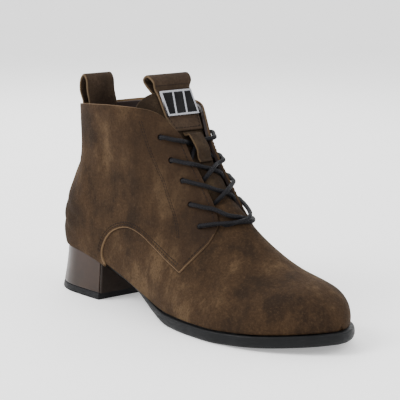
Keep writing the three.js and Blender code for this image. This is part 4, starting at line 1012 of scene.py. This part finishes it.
def heel_body(name, levels, shrink, height, down):
    """Heel piece through levels from 0 (up) to 1 (down), drawn in by shrink in mm at each."""
    share = np.concatenate([END[:-1] * 4, np.linspace(0.37, 1, 26)])
    rings = []
    for level, inward in zip(levels, shrink):
        halves = []
        for side in (LATERAL, MEDIAL):
            p = heel_outline(share, side, down(level))
            z = height(level, p[:, :1]) + 0 * p[:, :1]
            halves.append(np.concatenate([p - unit(p - HEEL_CENTRE) * inward, z], -1))
        rings.append(np.concatenate([halves[0], halves[1][::-1]]))
    return closed_rings(name, np.array(rings), 0.9)


HEEL_CENTRE = np.array([-8.0, 0.0])
foot = TOP_PIECE + GAP
block = heel_body(
    "heel_cover",
    np.concatenate([[0, 0.004, 0.012, 0.03], np.linspace(0.06, 0.94, 16), [0.97, 0.99, 1.0]]),
    np.concatenate([[0.5, 0.25, 0.08, 0], np.zeros(16), [0, 0.08, 0.3]]),
    lambda level, x: (seat(x) - GAP) * (1 - level) + foot * level,
    lambda level: level * (1 - foot / HEEL_HEIGHT),
)
top_piece = heel_body(
    "heel_top_piece", [0, 0.06, 0.2, 0.5, 0.85, 0.96, 1.0], [0.35, 0.1, 0.0, 0.0, 0.0, 0.15, 0.6],
    lambda level, x: TOP_PIECE * (1 - level),
    lambda level: 1 - TOP_PIECE / HEEL_HEIGHT * (1 - level),
)

z = np.linspace(foot, seat(HEEL_BREAST_X) - GAP, 30)
a = np.linspace(0, np.pi, 9)
edge_x = HEEL_BREAST_X + GAP / 2 + FLAP * 0.5 * (1 - np.cos(a)) + 0 * z[:, None]
halves = []
for side in (LATERAL, MEDIAL):
    reach = np.abs(heel_outline(np.ones(30), side, 1 - z / HEEL_HEIGHT)[:, 1:]) - 0.2
    halves.append(np.stack([edge_x, side * (reach - 0.8 * (1 - np.sin(a))), z[:, None] + 0 * a], -1))
flap = closed_rings("breast_flap", np.concatenate([halves[0], halves[1][:, ::-1]], 1), 0.9)

SOCK_THICKNESS = 2.0
shares = np.concatenate([END, np.linspace(0.115, 0.885, 60), (1 - END)[::-1]])
level = np.array([0.0, 0.5, 1.0])
insole = foot_plate("sock", shares, WALL + 0.6 + 0 * level,
                    lambda x: seat(x) + 0.05 + SOCK_THICKNESS * level, 0.9)
print("sole, heel and insole ready")

# %% [markdown]
# ## The zip
#
# The zip runs down the inner side. Its teeth are one small moulded block repeated along two rows
# that mesh, on a strip of woven tape that follows the surface.

# %% Zip
SLIDER_Z = 1.046 * COLLAR_HEIGHT - 11
TOOTH_PITCH = 1.5


def zip_line(offset, grow, zs):
    """Line down the zip, moved forward by offset and off the last by grow."""
    s, tau = on_last(np.stack([ZIP_X + offset + 0 * zs, zs], -1), MEDIAL)
    return grown(s, tau, MEDIAL, grow)


tape_z = np.linspace(ZIP_FOOT, SLIDER_Z + 8, 90)
tape = shell("zip_tape", *(np.stack([zip_line(d, grow, tape_z) for d in (-2.9, -1.5, 0, 1.5, 2.9)], 1)
                           for grow in (0.55, -0.2)))
tooth_z = np.arange(ZIP_FOOT + 1, SLIDER_Z - 5, TOOTH_PITCH / 2)
offset = np.where(np.arange(len(tooth_z)) % 2, 0.55, -0.55)
s, tau = on_last(np.stack([ZIP_X + offset, tooth_z], -1), MEDIAL)
at, out = grown(s, tau, MEDIAL, 0.75), last_normal(s, tau, MEDIAL)
along = unit(np.gradient(zip_line(0, 1.0, tooth_z), axis=0))
box = np.array([(x, y, z) for z in (-1, 1) for y in (-1, 1) for x in (-1, 1)], float) * [1.35, 0.3, 0.42]
box[4:, :2] *= 0.8
box_quads = np.array([(0, 2, 3, 1), (4, 5, 7, 6), (0, 1, 5, 4), (2, 6, 7, 3), (0, 4, 6, 2), (1, 3, 7, 5)])
teeth = scatter("zip_teeth", box, box_quads, at, np.stack([np.cross(along, out), along, out], 1))
print("zip teeth:", len(tooth_z))

# %% [markdown]
# ## Stitches
#
# Stitches hold the panels: twin rows follow the sweeping seam, a single row follows the front of
# the quarter and the facing, and twin rows mark the stay behind the eyelets. A stitch is a short
# capsule half sunk into the leather. Its row is the panel's outline moved inwards in the side view
# and laid on the surface.


# %% Stitch rows
STITCH = 2.5


def stitches_at(name, centre, ahead, up, length=1.9, radius=0.3):
    """One mesh of stitches from their centres, directions and upward normals."""
    t, sides = np.array([0.0, 0.12, 0.35, 0.65, 0.88, 1.0]), 6
    r = radius * np.sqrt(np.clip(1 - (2 * t - 1) ** 4, 0.01, 1))[:, None]
    turn = np.linspace(0, 2 * np.pi, sides, endpoint=False)
    capsule = np.stack([(t[:, None] - 0.5) * length + 0 * turn, r * np.cos(turn), r * np.sin(turn)], -1)
    axes = np.stack([ahead, np.cross(up, ahead), up], 1)
    return scatter(name, capsule.reshape(-1, 3), ring_faces(len(t), sides), centre, axes)


def stitch_row(line, inset, side, pitch=STITCH, grow=PANEL, ends=(0, None)):
    """Centres, directions and normals of stitches along a side view line moved in by an inset."""
    ahead = unit(np.gradient(line, axis=0))
    line = (line + np.stack([ahead[:, 1], -ahead[:, 0]], -1) * inset)[slice(*ends)]
    s, tau = on_last(even(line, 240), side)
    path = grown(s, tau, side, grow + relief(last_point(s, tau, side), side))
    run = run_along(path)
    at = np.arange(pitch, run[-1] - pitch / 2, pitch)
    centre = at_runs(at, run, path)
    return centre, unit(at_runs(at + 0.4, run, path) - centre), at_runs(at, run, last_normal(s, tau, side))


seam_line, front_line = through(LOWER_SEAM, 200), through(FRONT_LINE, 80)
facing_line = through(FACING_LINE, 120)
stay_line = through(side_line([
    (0.372, 0.985), (0.392, 0.88), (0.418, 0.78), (0.450, 0.685),
    (0.486, 0.575), (0.515, 0.490), (0.535, 0.420),
]), 120)
rows = []
for side in (LATERAL, MEDIAL):
    rows += [stitch_row(seam_line, inset, side, ends=(6, -14)) for inset in (1.8, 3.4)]
    rows.append(stitch_row(front_line, 2.0, side, ends=(4, -6)))
    rows.append(stitch_row(facing_line, 2.0, side, ends=(6, -4)))
    rows += [stitch_row(stay_line - [shift, 0], 0.0, side, 2.2, PANEL - 0.1) for shift in (0.0, 1.6)]
stitches = stitches_at("stitches", *(np.concatenate(part) for part in zip(*rows)), 2.0, 0.33)


def strap_stitches(name, line, span, bow=0.0, inset=1.8):
    """Stitch rows along both edges of a strap, on its outer face, over a span of its length."""
    first, last = (int(share * len(line)) for share in span)
    path = even(line[first:last, :2], 400)
    run = run_along(path)
    at = np.arange(1.2, run[-1] - 1, STITCH)
    place = at_runs(at, run, path)
    ahead = np.insert(unit(at_runs(at + 0.3, run, path) - place), 1, 0, axis=1)
    up = ahead[:, ::-1] * [1, 0, -1]
    wide = np.interp(np.linspace(first, last - 1, len(at)), np.arange(len(line)), line[:, 2] / 2) - inset
    centres = [np.stack([place[:, 0] + bow * back_bow(wide, place[:, 1]), side * wide, place[:, 1]], -1)
               + up * STRAP / 2 for side in (LATERAL, MEDIAL)]
    return stitches_at(name, np.concatenate(centres), np.tile(ahead, (2, 1)), np.tile(up, (2, 1)))


def cross_row(name, line, out, z, margin=2.0):
    """Stitch row straight across a strap's front, where its path first reaches a height."""
    i = int(np.argmax(line[:, 1] > z))
    reach = line[i, 2] / 2 - margin
    y = np.arange(-reach, reach, 2.4)[:, None]
    across, up = np.array([0.0, 1.0, 0.0]), np.array([out[i, 0], 0, out[i, 1]])
    centre = np.array([line[i, 0], 0, line[i, 1]]) + up * STRAP / 2 + y * across
    return stitches_at(name, centre, *(np.tile(v, (len(y), 1)) for v in (across, up)))


strap_thread = [strap_stitches("stitches_tongue_strap", pull_line, (0.02, 0.30))]
heel_thread = strap_stitches("stitches_heel_strap", heel_line, (0.01, 0.29), 1.0)
strap_thread += [
    cross_row("stitches_strap_top", pull_line, pull_out, 149.6),
    cross_row("stitches_strap_foot", pull_line, pull_out, 122.6),
]
print("stitches:", sum(len(row[0]) for row in rows))

# %% [markdown]
# ## Materials
#
# Each material is worked out from real sizes: the nap of suede is a quarter of a millimetre, its
# blotches are a few millimetres to centimetres wide, the cord's plait repeats every 2 mm. Colours
# are written as sRGB hex and turned linear by one function. One function adds a node of any kind
# and sets or links its inputs, and most colours are layers: a noise, a soft step, a colour.


# %% Node helpers
def linear(code, alpha=1.0):
    """sRGB hex to the linear colour that shaders work with."""
    c = np.array([int(code[i:i + 2], 16) for i in (1, 3, 5)]) / 255
    c = np.where(c <= 0.04045, c / 12.92, ((c + 0.055) / 1.055) ** 2.4)
    return (*c.tolist(), alpha)


def per(size):
    """Scale of a pattern whose features are about size mm wide."""
    return 1 / (size * MM)


# Kinds of node in use: type, settings, inputs in order, output
KINDS = {
    "place": ("TexCoord", {}, (), "Object"),
    "length": ("UVMap", {"uv_map": "length"}, (), 0),
    "edge": ("Attribute", {"attribute_name": "edge"}, (), "Fac"),
    "hole": ("Attribute", {"attribute_name": "hole"}, (), "Fac"),
    "first of": ("SeparateXYZ", {}, (0,), 0),
    "second of": ("SeparateXYZ", {}, (0,), 1),
    "stretched": ("Mapping", {}, ("Vector", "Scale"), 0),
    "noise": ("TexNoise", {}, ("Vector", "Scale", "Detail", "Roughness"), 0),
    "cells": ("TexVoronoi", {"feature": "DISTANCE_TO_EDGE"}, ("Vector", "Scale"), 0),
    "step": ("MapRange", {"interpolation_type": "SMOOTHSTEP"}, (0, 1, 2, 3, 4), 0),
    "blend": ("Mix", {"data_type": "RGBA"}, (0, 6, 7), 2),
    "bump": ("Bump", {}, ("Height", "Distance", "Normal"), 0),
    "surface": ("BsdfPrincipled", {}, (), 0),
    "output": ("OutputMaterial", {}, (0,), None),
}
for operation in ("ADD", "SUBTRACT", "MULTIPLY", "MAXIMUM", "SINE"):
    KINDS[operation.lower()] = ("Math", {"operation": operation}, (0, 1), 0)


class Shader:
    """A material under way: its node tree and its Object coordinates."""

    def __init__(self, name):
        self.material = bpy.data.materials.new(name)
        self.material.use_nodes = True
        self.tree = self.material.node_tree
        self.tree.nodes.clear()
        self.place = self.add("place")

    def add(self, kind, *values, **named):
        """Adds a node; values go to its inputs in order or by name, as links or as constants."""
        name, settings, sockets, output = KINDS[kind]
        node = self.tree.nodes.new("ShaderNode" + name)
        for key, value in settings.items():
            setattr(node, key, value)
        by_name = {socket.name.lower().replace(" ", "_"): socket for socket in reversed(node.inputs)}
        pairs = [(node.inputs[key], value) for key, value in zip(sockets, values)]
        for socket, value in pairs + [(by_name[key], value) for key, value in named.items()]:
            if isinstance(value, bpy.types.NodeSocket):
                self.tree.links.new(value, socket)
            else:
                socket.default_value = value
        return None if output is None else node.outputs[output]

    def layered(self, first, *layers):
        """Colour over colour: each layer is a source, its soft step's four numbers and a colour."""
        colour = linear(first)
        for source, *span, code in layers:
            colour = self.add("blend", self.add("step", source, *span), colour, linear(code))
        return colour

    def finished(self, *bumps, **inputs):
        """The material with its surface; bumps are heights with depths in mm, coarse ones first."""
        normal = []
        for height, depth in bumps:
            normal = [self.add("bump", height, depth * MM, *normal)]
        if normal:
            inputs["normal"] = normal[0]
        self.add("output", self.add("surface", **inputs))
        return self.material


# %% Suede
SUEDE_NOISES = {  # size in mm, detail, roughness, stretch down the boot
    "patch": (46, 2.0, 0.5, 1.0), "cloud": (13, 3.0, 0.6, 0.55), "mottle": (5.0, 4.0, 0.65, 1.0),
    "brushed": (3.2, 3.0, 0.6, 0.28), "grain": (1.5, 4.0, 0.75, 1.0), "nap": (0.6, 3.0, 0.7, 1.0),
    "fine": (0.24, 2.0, 0.6, 1.0), "ragged": (0.8, 3.0, 0.55, 1.0),
}
# Colour of the painted shade round the lace holes, on the vamp by the seam and towards the facing
PAINTED_SHADE = "#251a12"
EDGE_MM = 0.85


def suede(name, dark, middle, light, raw, wear=1.0):
    """Suede: short nap in patches, painted shade by the lace holes, seam and facing, and a pale raw cut
    edge.
    """
    m = Shader(name)
    n = {label: m.add("noise", m.add("stretched", m.place, (1.0, 1.0, tall)), per(size), detail, rough)
         for label, (size, detail, rough, tall) in SUEDE_NOISES.items()}
    tone = m.add("add", m.add("multiply", n["patch"], 0.45), m.add("multiply", n["cloud"], 0.35))
    tone = m.add("add", tone, m.add("multiply", m.add("add", n["mottle"], n["brushed"]), 0.10))
    edge = m.add("add", m.add("edge"), m.add("multiply", n["ragged"], 0.5))
    colour = m.layered(
        dark,
        (tone, 0.40, 0.51, 0.12, 1.0, middle), (tone, 0.50, 0.61, 0.0, 0.9 * wear, light),
        (n["grain"], 0.36, 0.52, 0.5, 0.0, dark), (n["grain"], 0.52, 0.68, 0.0, 0.32, light),
        (n["nap"], 0.25, 0.8, 0.35, 0.0, dark), (n["fine"], 0.45, 0.8, 0.0, 0.25, light),
        (edge, EDGE_MM * 0.5, EDGE_MM * 1.1, 0.9, 0.0, raw),
        # Painted shade where the hole field is low: round the lace holes, by the seam, towards the facing
        (m.add("hole"), 1.95, 2.7, 0.75, 0.0, PAINTED_SHADE),
    )
    return m.finished(
        (n["mottle"], 0.35), (n["grain"], 0.22), (n["nap"], 0.14), (n["fine"], 0.10),
        base_color=colour, roughness=0.93, specular_ior_level=0.12,
        sheen_weight=0.12, sheen_roughness=0.45, sheen_tint=linear(light),
    )


SUEDE = suede("suede_olive_brown", "#1d140d", "#352618", "#52402c", "#6f5a43")
TONGUE_SUEDE = suede("suede_tongue", "#19120c", "#2a2017", "#3f3325", "#4b3c2b")
STRAP_SUEDE = suede("suede_taupe_strap", "#241b15", "#34291f", "#48392d", "#554634", wear=0.6)


# %% Smooth leather, cord, thread and rubber
PLAIT, LACE_STRANDS = 2.1, 4
DUST = "#1c1b1b"
WORN_METAL = "#8d8c90"


def leather(name, base, dark, rough=0.55, grain=1.1):
    """Smooth lining leather with a fine grain."""
    m = Shader(name)
    tone = m.add("noise", m.place, per(14), 3.0, 0.55)
    pores = m.add("step", m.add("cells", m.place, per(grain)), 0.0, 0.12)
    return m.finished((tone, 0.15), (pores, 0.05), roughness=rough, specular_ior_level=0.2,
                      base_color=m.layered(dark, (tone, 0.35, 0.65, 0.0, 1.0, base)))


def cord(name, light, dark):
    """Round plaited cord: two sets of slanted strands from the length and the turn of its UV."""
    m = Shader(name)
    uv = m.add("length")
    along = m.add("multiply", m.add("first of", uv), 2 * np.pi * per(PLAIT))
    turn = m.add("multiply", m.add("second of", uv), LACE_STRANDS * per(LACE))
    slanted = [m.add("sine", m.add(way, along, turn)) for way in ("add", "subtract")]
    height = m.add("step", m.add("maximum", *slanted), -0.6, 0.9)
    worn = m.add("step", m.add("noise", m.place, per(0.5), 3.0, 0.55), 0.2, 0.7, 0.6, 1.0)
    colour = m.add("blend", m.add("multiply", height, worn), linear(dark), linear(light))
    return m.finished((height, 0.28), (m.add("noise", m.place, per(0.25), 3.0, 0.55), 0.08),
                      base_color=colour, roughness=0.7, specular_ior_level=0.18)


def woven(name, light, dark, pitch=0.6):
    """Woven tape: warp and weft waves across each other."""
    m = Shader(name)
    uv = m.add("length")
    waves = [m.add("sine", m.add("multiply", m.add(part, uv), 2 * np.pi * per(pitch)))
             for part in ("first of", "second of")]
    weave = m.add("multiply", *waves)
    return m.finished((weave, 0.08), base_color=m.layered(dark, (weave, -0.8, 0.8, 0.0, 1.0, light)),
                      roughness=0.8, specular_ior_level=0.3)


def plain(name, base, rough, **surface):
    """Even material with a slight cloud in its tone and gloss."""
    m = Shader(name)
    cloud = m.add("noise", m.place, per(9), 3.0, 0.55)
    return m.finished((m.add("noise", m.place, per(0.7), 3.0, 0.55), 0.03),
                      base_color=m.layered(base, (cloud, 0.3, 0.7, 0.0, 0.35, DUST)),
                      roughness=m.add("step", cloud, 0.3, 0.7, rough, rough + 0.12), **surface)


def rubber(name, base, dust, rough=0.5):
    """Black rubber: satin, with fine scratches along the walls and patches of dust."""
    m = Shader(name)
    scratch = m.add("noise", m.add("stretched", m.place, (0.25, 0.25, 2.2)), per(1.6), 4.0, 0.7)
    cloud = m.add("noise", m.place, per(12), 3.0, 0.55)
    return m.finished((scratch, 0.06), (m.add("noise", m.place, per(0.35), 3.0, 0.55), 0.03),
                      base_color=m.layered(base, (cloud, 0.35, 0.75, 0.0, 0.5, dust)),
                      roughness=m.add("step", scratch, 0.3, 0.7, rough - 0.08, rough + 0.14),
                      specular_ior_level=0.15)


def lacquer(name, base, dark):
    """Heel cover: taupe lacquer over a smooth core, clear coat on top."""
    m = Shader(name)
    cloud, grain = (m.add("noise", m.place, per(size), 3.0, 0.55) for size in (20, 0.8))
    colour = m.layered(dark, (cloud, 0.3, 0.7, 0.0, 1.0, base), (grain, 0.55, 0.8, 0.0, 0.25, dark))
    return m.finished((cloud, 0.20), (grain, 0.012), base_color=colour, roughness=0.36, coat_weight=0.06,
                      coat_roughness=0.15, specular_ior_level=0.16)


def metal(name, base, rough=0.2):
    """Polished silver-coloured metal with faint wear."""
    m = Shader(name)
    wear = m.add("noise", m.place, per(1.3), 4.0, 0.7)
    return m.finished((m.add("noise", m.place, per(0.5), 3.0, 0.55), 0.01), metallic=1.0,
                      base_color=m.layered(base, (wear, 0.45, 0.8, 0.0, 0.3, WORN_METAL)),
                      roughness=m.add("step", wear, 0.3, 0.75, rough, rough + 0.16))


LINING = leather("lining_leather_dark_brown", "#261a17", "#1b1210")
THREAD = leather("thread_olive_brown", "#20160f", "#150e09", 0.9, 0.3)
LACE_CORD = cord("lace_cord_charcoal", "#121116", "#040405")
TAPE = woven("zip_tape_dark", "#3a302c", "#1d1817")
OUTSOLE = rubber("outsole_rubber_black", "#0a0b0c", "#141517", 0.5)
TOP_RUBBER = rubber("top_piece_rubber_black", "#0d0d0f", "#18181b", 0.55)
FLAP_LEATHER = rubber("breast_flap_dark_brown", "#1a120d", "#261b14", 0.5)
HEEL = lacquer("heel_lacquer_taupe", "#2c1c12", "#20140c")
METAL = metal("badge_metal_silver", "#a3a4a9", 0.2)
TEETH = plain("zip_teeth_dark", "#1d1917", 0.35)
ZIP_METAL = metal("zip_metal_silver", "#c9cace", 0.24)
ENAMEL = plain("badge_enamel_black", "#030304", 0.15, specular_ior_level=0.12)
print("materials:", len(bpy.data.materials))

# %% [markdown]
# ## Putting materials on pieces
#
# Every new piece gets its material, and the CAD pieces that it stands for are hidden. The badge,
# the zip slider and its tab keep their CAD shape and only get metal and enamel.


# %% Finish of every piece
def finish(piece, material, slot=None, *nodes):
    """Gives a piece its material and hides the CAD nodes that it stands for; slot is not used."""
    piece.data.materials.clear()
    piece.data.materials.append(material)
    if nodes:
        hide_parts(*nodes)
    return piece


for piece in linings:
    finish(piece, LINING, "lining", "upper")
for piece in quarters + [vamp]:
    finish(piece, SUEDE, "suede", "upper")
finish(stitches, THREAD, "suede", "upper")
finish(tongue, TONGUE_SUEDE, "tongue_suede", "tongue")
finish(tongue_pull, STRAP_SUEDE, "strap_suede", "tongue_pull")
finish(heel_pull, STRAP_SUEDE, "strap_suede", "heel_pull")
finish(keeper, TONGUE_SUEDE, "tongue_suede", "lace_keeper")
finish(heel_thread, THREAD, "strap_suede", "heel_pull")
for row in strap_thread:
    finish(row, THREAD, "strap_suede", "tongue_pull")
finish(lace, LACE_CORD, "lace_cord", "lace_bar", *[f"lace_crossing_{i}" for i in range(1, 5)])
finish(outsole, OUTSOLE, "outsole_rubber", "outsole")
finish(block, HEEL, "heel_cover", "heel_block")
finish(flap, FLAP_LEATHER, "outsole_rubber", "heel_block")
finish(top_piece, TOP_RUBBER, "top_piece_rubber", "top_piece")
finish(insole, LINING, "lining", "insole")
finish(tape, TAPE, "zip_tape", "zip_chain")
finish(teeth, TEETH, "zip_tape", "zip_chain")

# Soft bevels on the CAD pieces that stay
for name, material in (("badge_frame", METAL), ("badge_enamel_1", ENAMEL), ("badge_enamel_2", ENAMEL),
                       ("badge_enamel_3", ENAMEL), ("zip_slider", ZIP_METAL), ("zip_pull", ZIP_METAL)):
    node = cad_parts[name]
    node.data.materials.clear()
    node.data.materials.append(material)
    bevel = node.modifiers.new("soft edge", "BEVEL")
    bevel.width, bevel.segments, bevel.limit_method = 0.25 * MM, 2, "ANGLE"
    node.data.set_sharp_from_angle(angle=0.6)

# %% [markdown]
# ## Floor, light and camera
#
# A pale seamless floor, one large soft light above and to the left, a weaker one from the right
# and an even pale surrounding. The camera stands where the photographer stood, three quarters from
# the toe on the outer side and a little above the boot, and looks at the middle of the boot.

# %% Floor
FLOOR_HALF_BREADTH, FLOOR_END, BEND = 6.0, 1.6, 0.9
AWAY = 2.395  # direction from the camera to the back of the floor, in radians
turn = np.linspace(0.1, np.pi / 2, 14)
run = np.concatenate([np.linspace(-3.0, FLOOR_END, 12), FLOOR_END + BEND * np.sin(turn), [2.5, 2.5]])
rise = np.concatenate([np.zeros(12), BEND * (1 - np.cos(turn)), [1.6, 3.0]])
look, across = np.array([(np.cos(AWAY), np.sin(AWAY)), (-np.sin(AWAY), np.cos(AWAY))])
wide = np.linspace(-1, 1, 9) * FLOOR_HALF_BREADTH
grid = np.stack([run[:, None] * look[0] + wide[None] * across[0],
                 run[:, None] * look[1] + wide[None] * across[1], rise[:, None] + 0 * wide[None]], -1)
mesh = bpy.data.meshes.new("floor")
mesh.from_pydata(grid.reshape(-1, 3).tolist(), [], grid_faces(*grid.shape[:2])[:, ::-1].tolist())
mesh.polygons.foreach_set("use_smooth", np.ones(len(mesh.polygons), bool))
floor = bpy.data.objects.new("floor", mesh)
bpy.context.scene.collection.objects.link(floor)
paper = Shader("floor_paper_white")
cloud = paper.add("noise", paper.place, per(60), 3.0, 0.55)
mesh.materials.append(paper.finished(
    base_color=paper.add("blend", cloud, linear("#f7f7f7"), linear("#fbfbfb")), roughness=0.9,
    specular_ior_level=0.1, emission_strength=0.35, emission_color=linear("#ffffff"),
))
floor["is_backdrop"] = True

# %% Lights


def area_light(name, at, aim, size, power, colour="#ffffff"):
    """Square soft light at a place, aimed at another. Metres and watts."""
    data = bpy.data.lights.new(name, "AREA")
    data.shape, data.size, data.energy, data.color = "SQUARE", size, power, linear(colour)[:3]
    lamp = bpy.data.objects.new(name, data)
    lamp.location = at
    lamp.rotation_euler = (Vector(aim) - Vector(at)).to_track_quat("-Z", "Y").to_euler()
    bpy.context.scene.collection.objects.link(lamp)
    return lamp


boot_middle = (0.09, 0.0, 0.07)
area_light("key", (-0.30, -0.95, 1.00), boot_middle, 0.7, 19)
area_light("fill", (1.2, 0.35, 0.9), boot_middle, 1.0, 8)
area_light("back", (-0.75, 0.45, 0.85), boot_middle, 0.8, 9)
world = bpy.data.worlds.new("studio")
bpy.context.scene.world = world
world.use_nodes = True
world.node_tree.nodes["Background"].inputs[0].default_value = linear("#ffffff")
world.node_tree.nodes["Background"].inputs[1].default_value = 1.25

# %% Camera
AT = Vector((0.90247, -0.70233, 0.28207))
ROLL = -0.010
LENS, SENSOR = 149.4, 36.0
lo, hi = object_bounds()
aim = Vector((0.5 * (lo.x + hi.x), 0.5 * (lo.y + hi.y), 0.5 * (lo.z + hi.z) - 0.002))
forward = (aim - AT).normalized()
right = forward.cross(Vector((0, 0, 1))).normalized()
down = forward.cross(right).normalized()
turned = right * np.cos(ROLL) + down * np.sin(ROLL)
below = down * np.cos(ROLL) - right * np.sin(ROLL)
camera_data = bpy.data.cameras.new("camera")
camera_data.lens, camera_data.sensor_width = LENS, SENSOR
camera_data.clip_start, camera_data.clip_end = 0.05, 20
camera = bpy.data.objects.new("camera", camera_data)
columns = Matrix((turned, -below, -forward)).transposed()
camera.matrix_world = Matrix.Translation(AT) @ columns.to_4x4()
bpy.context.scene.collection.objects.link(camera)
bpy.context.scene.camera = camera
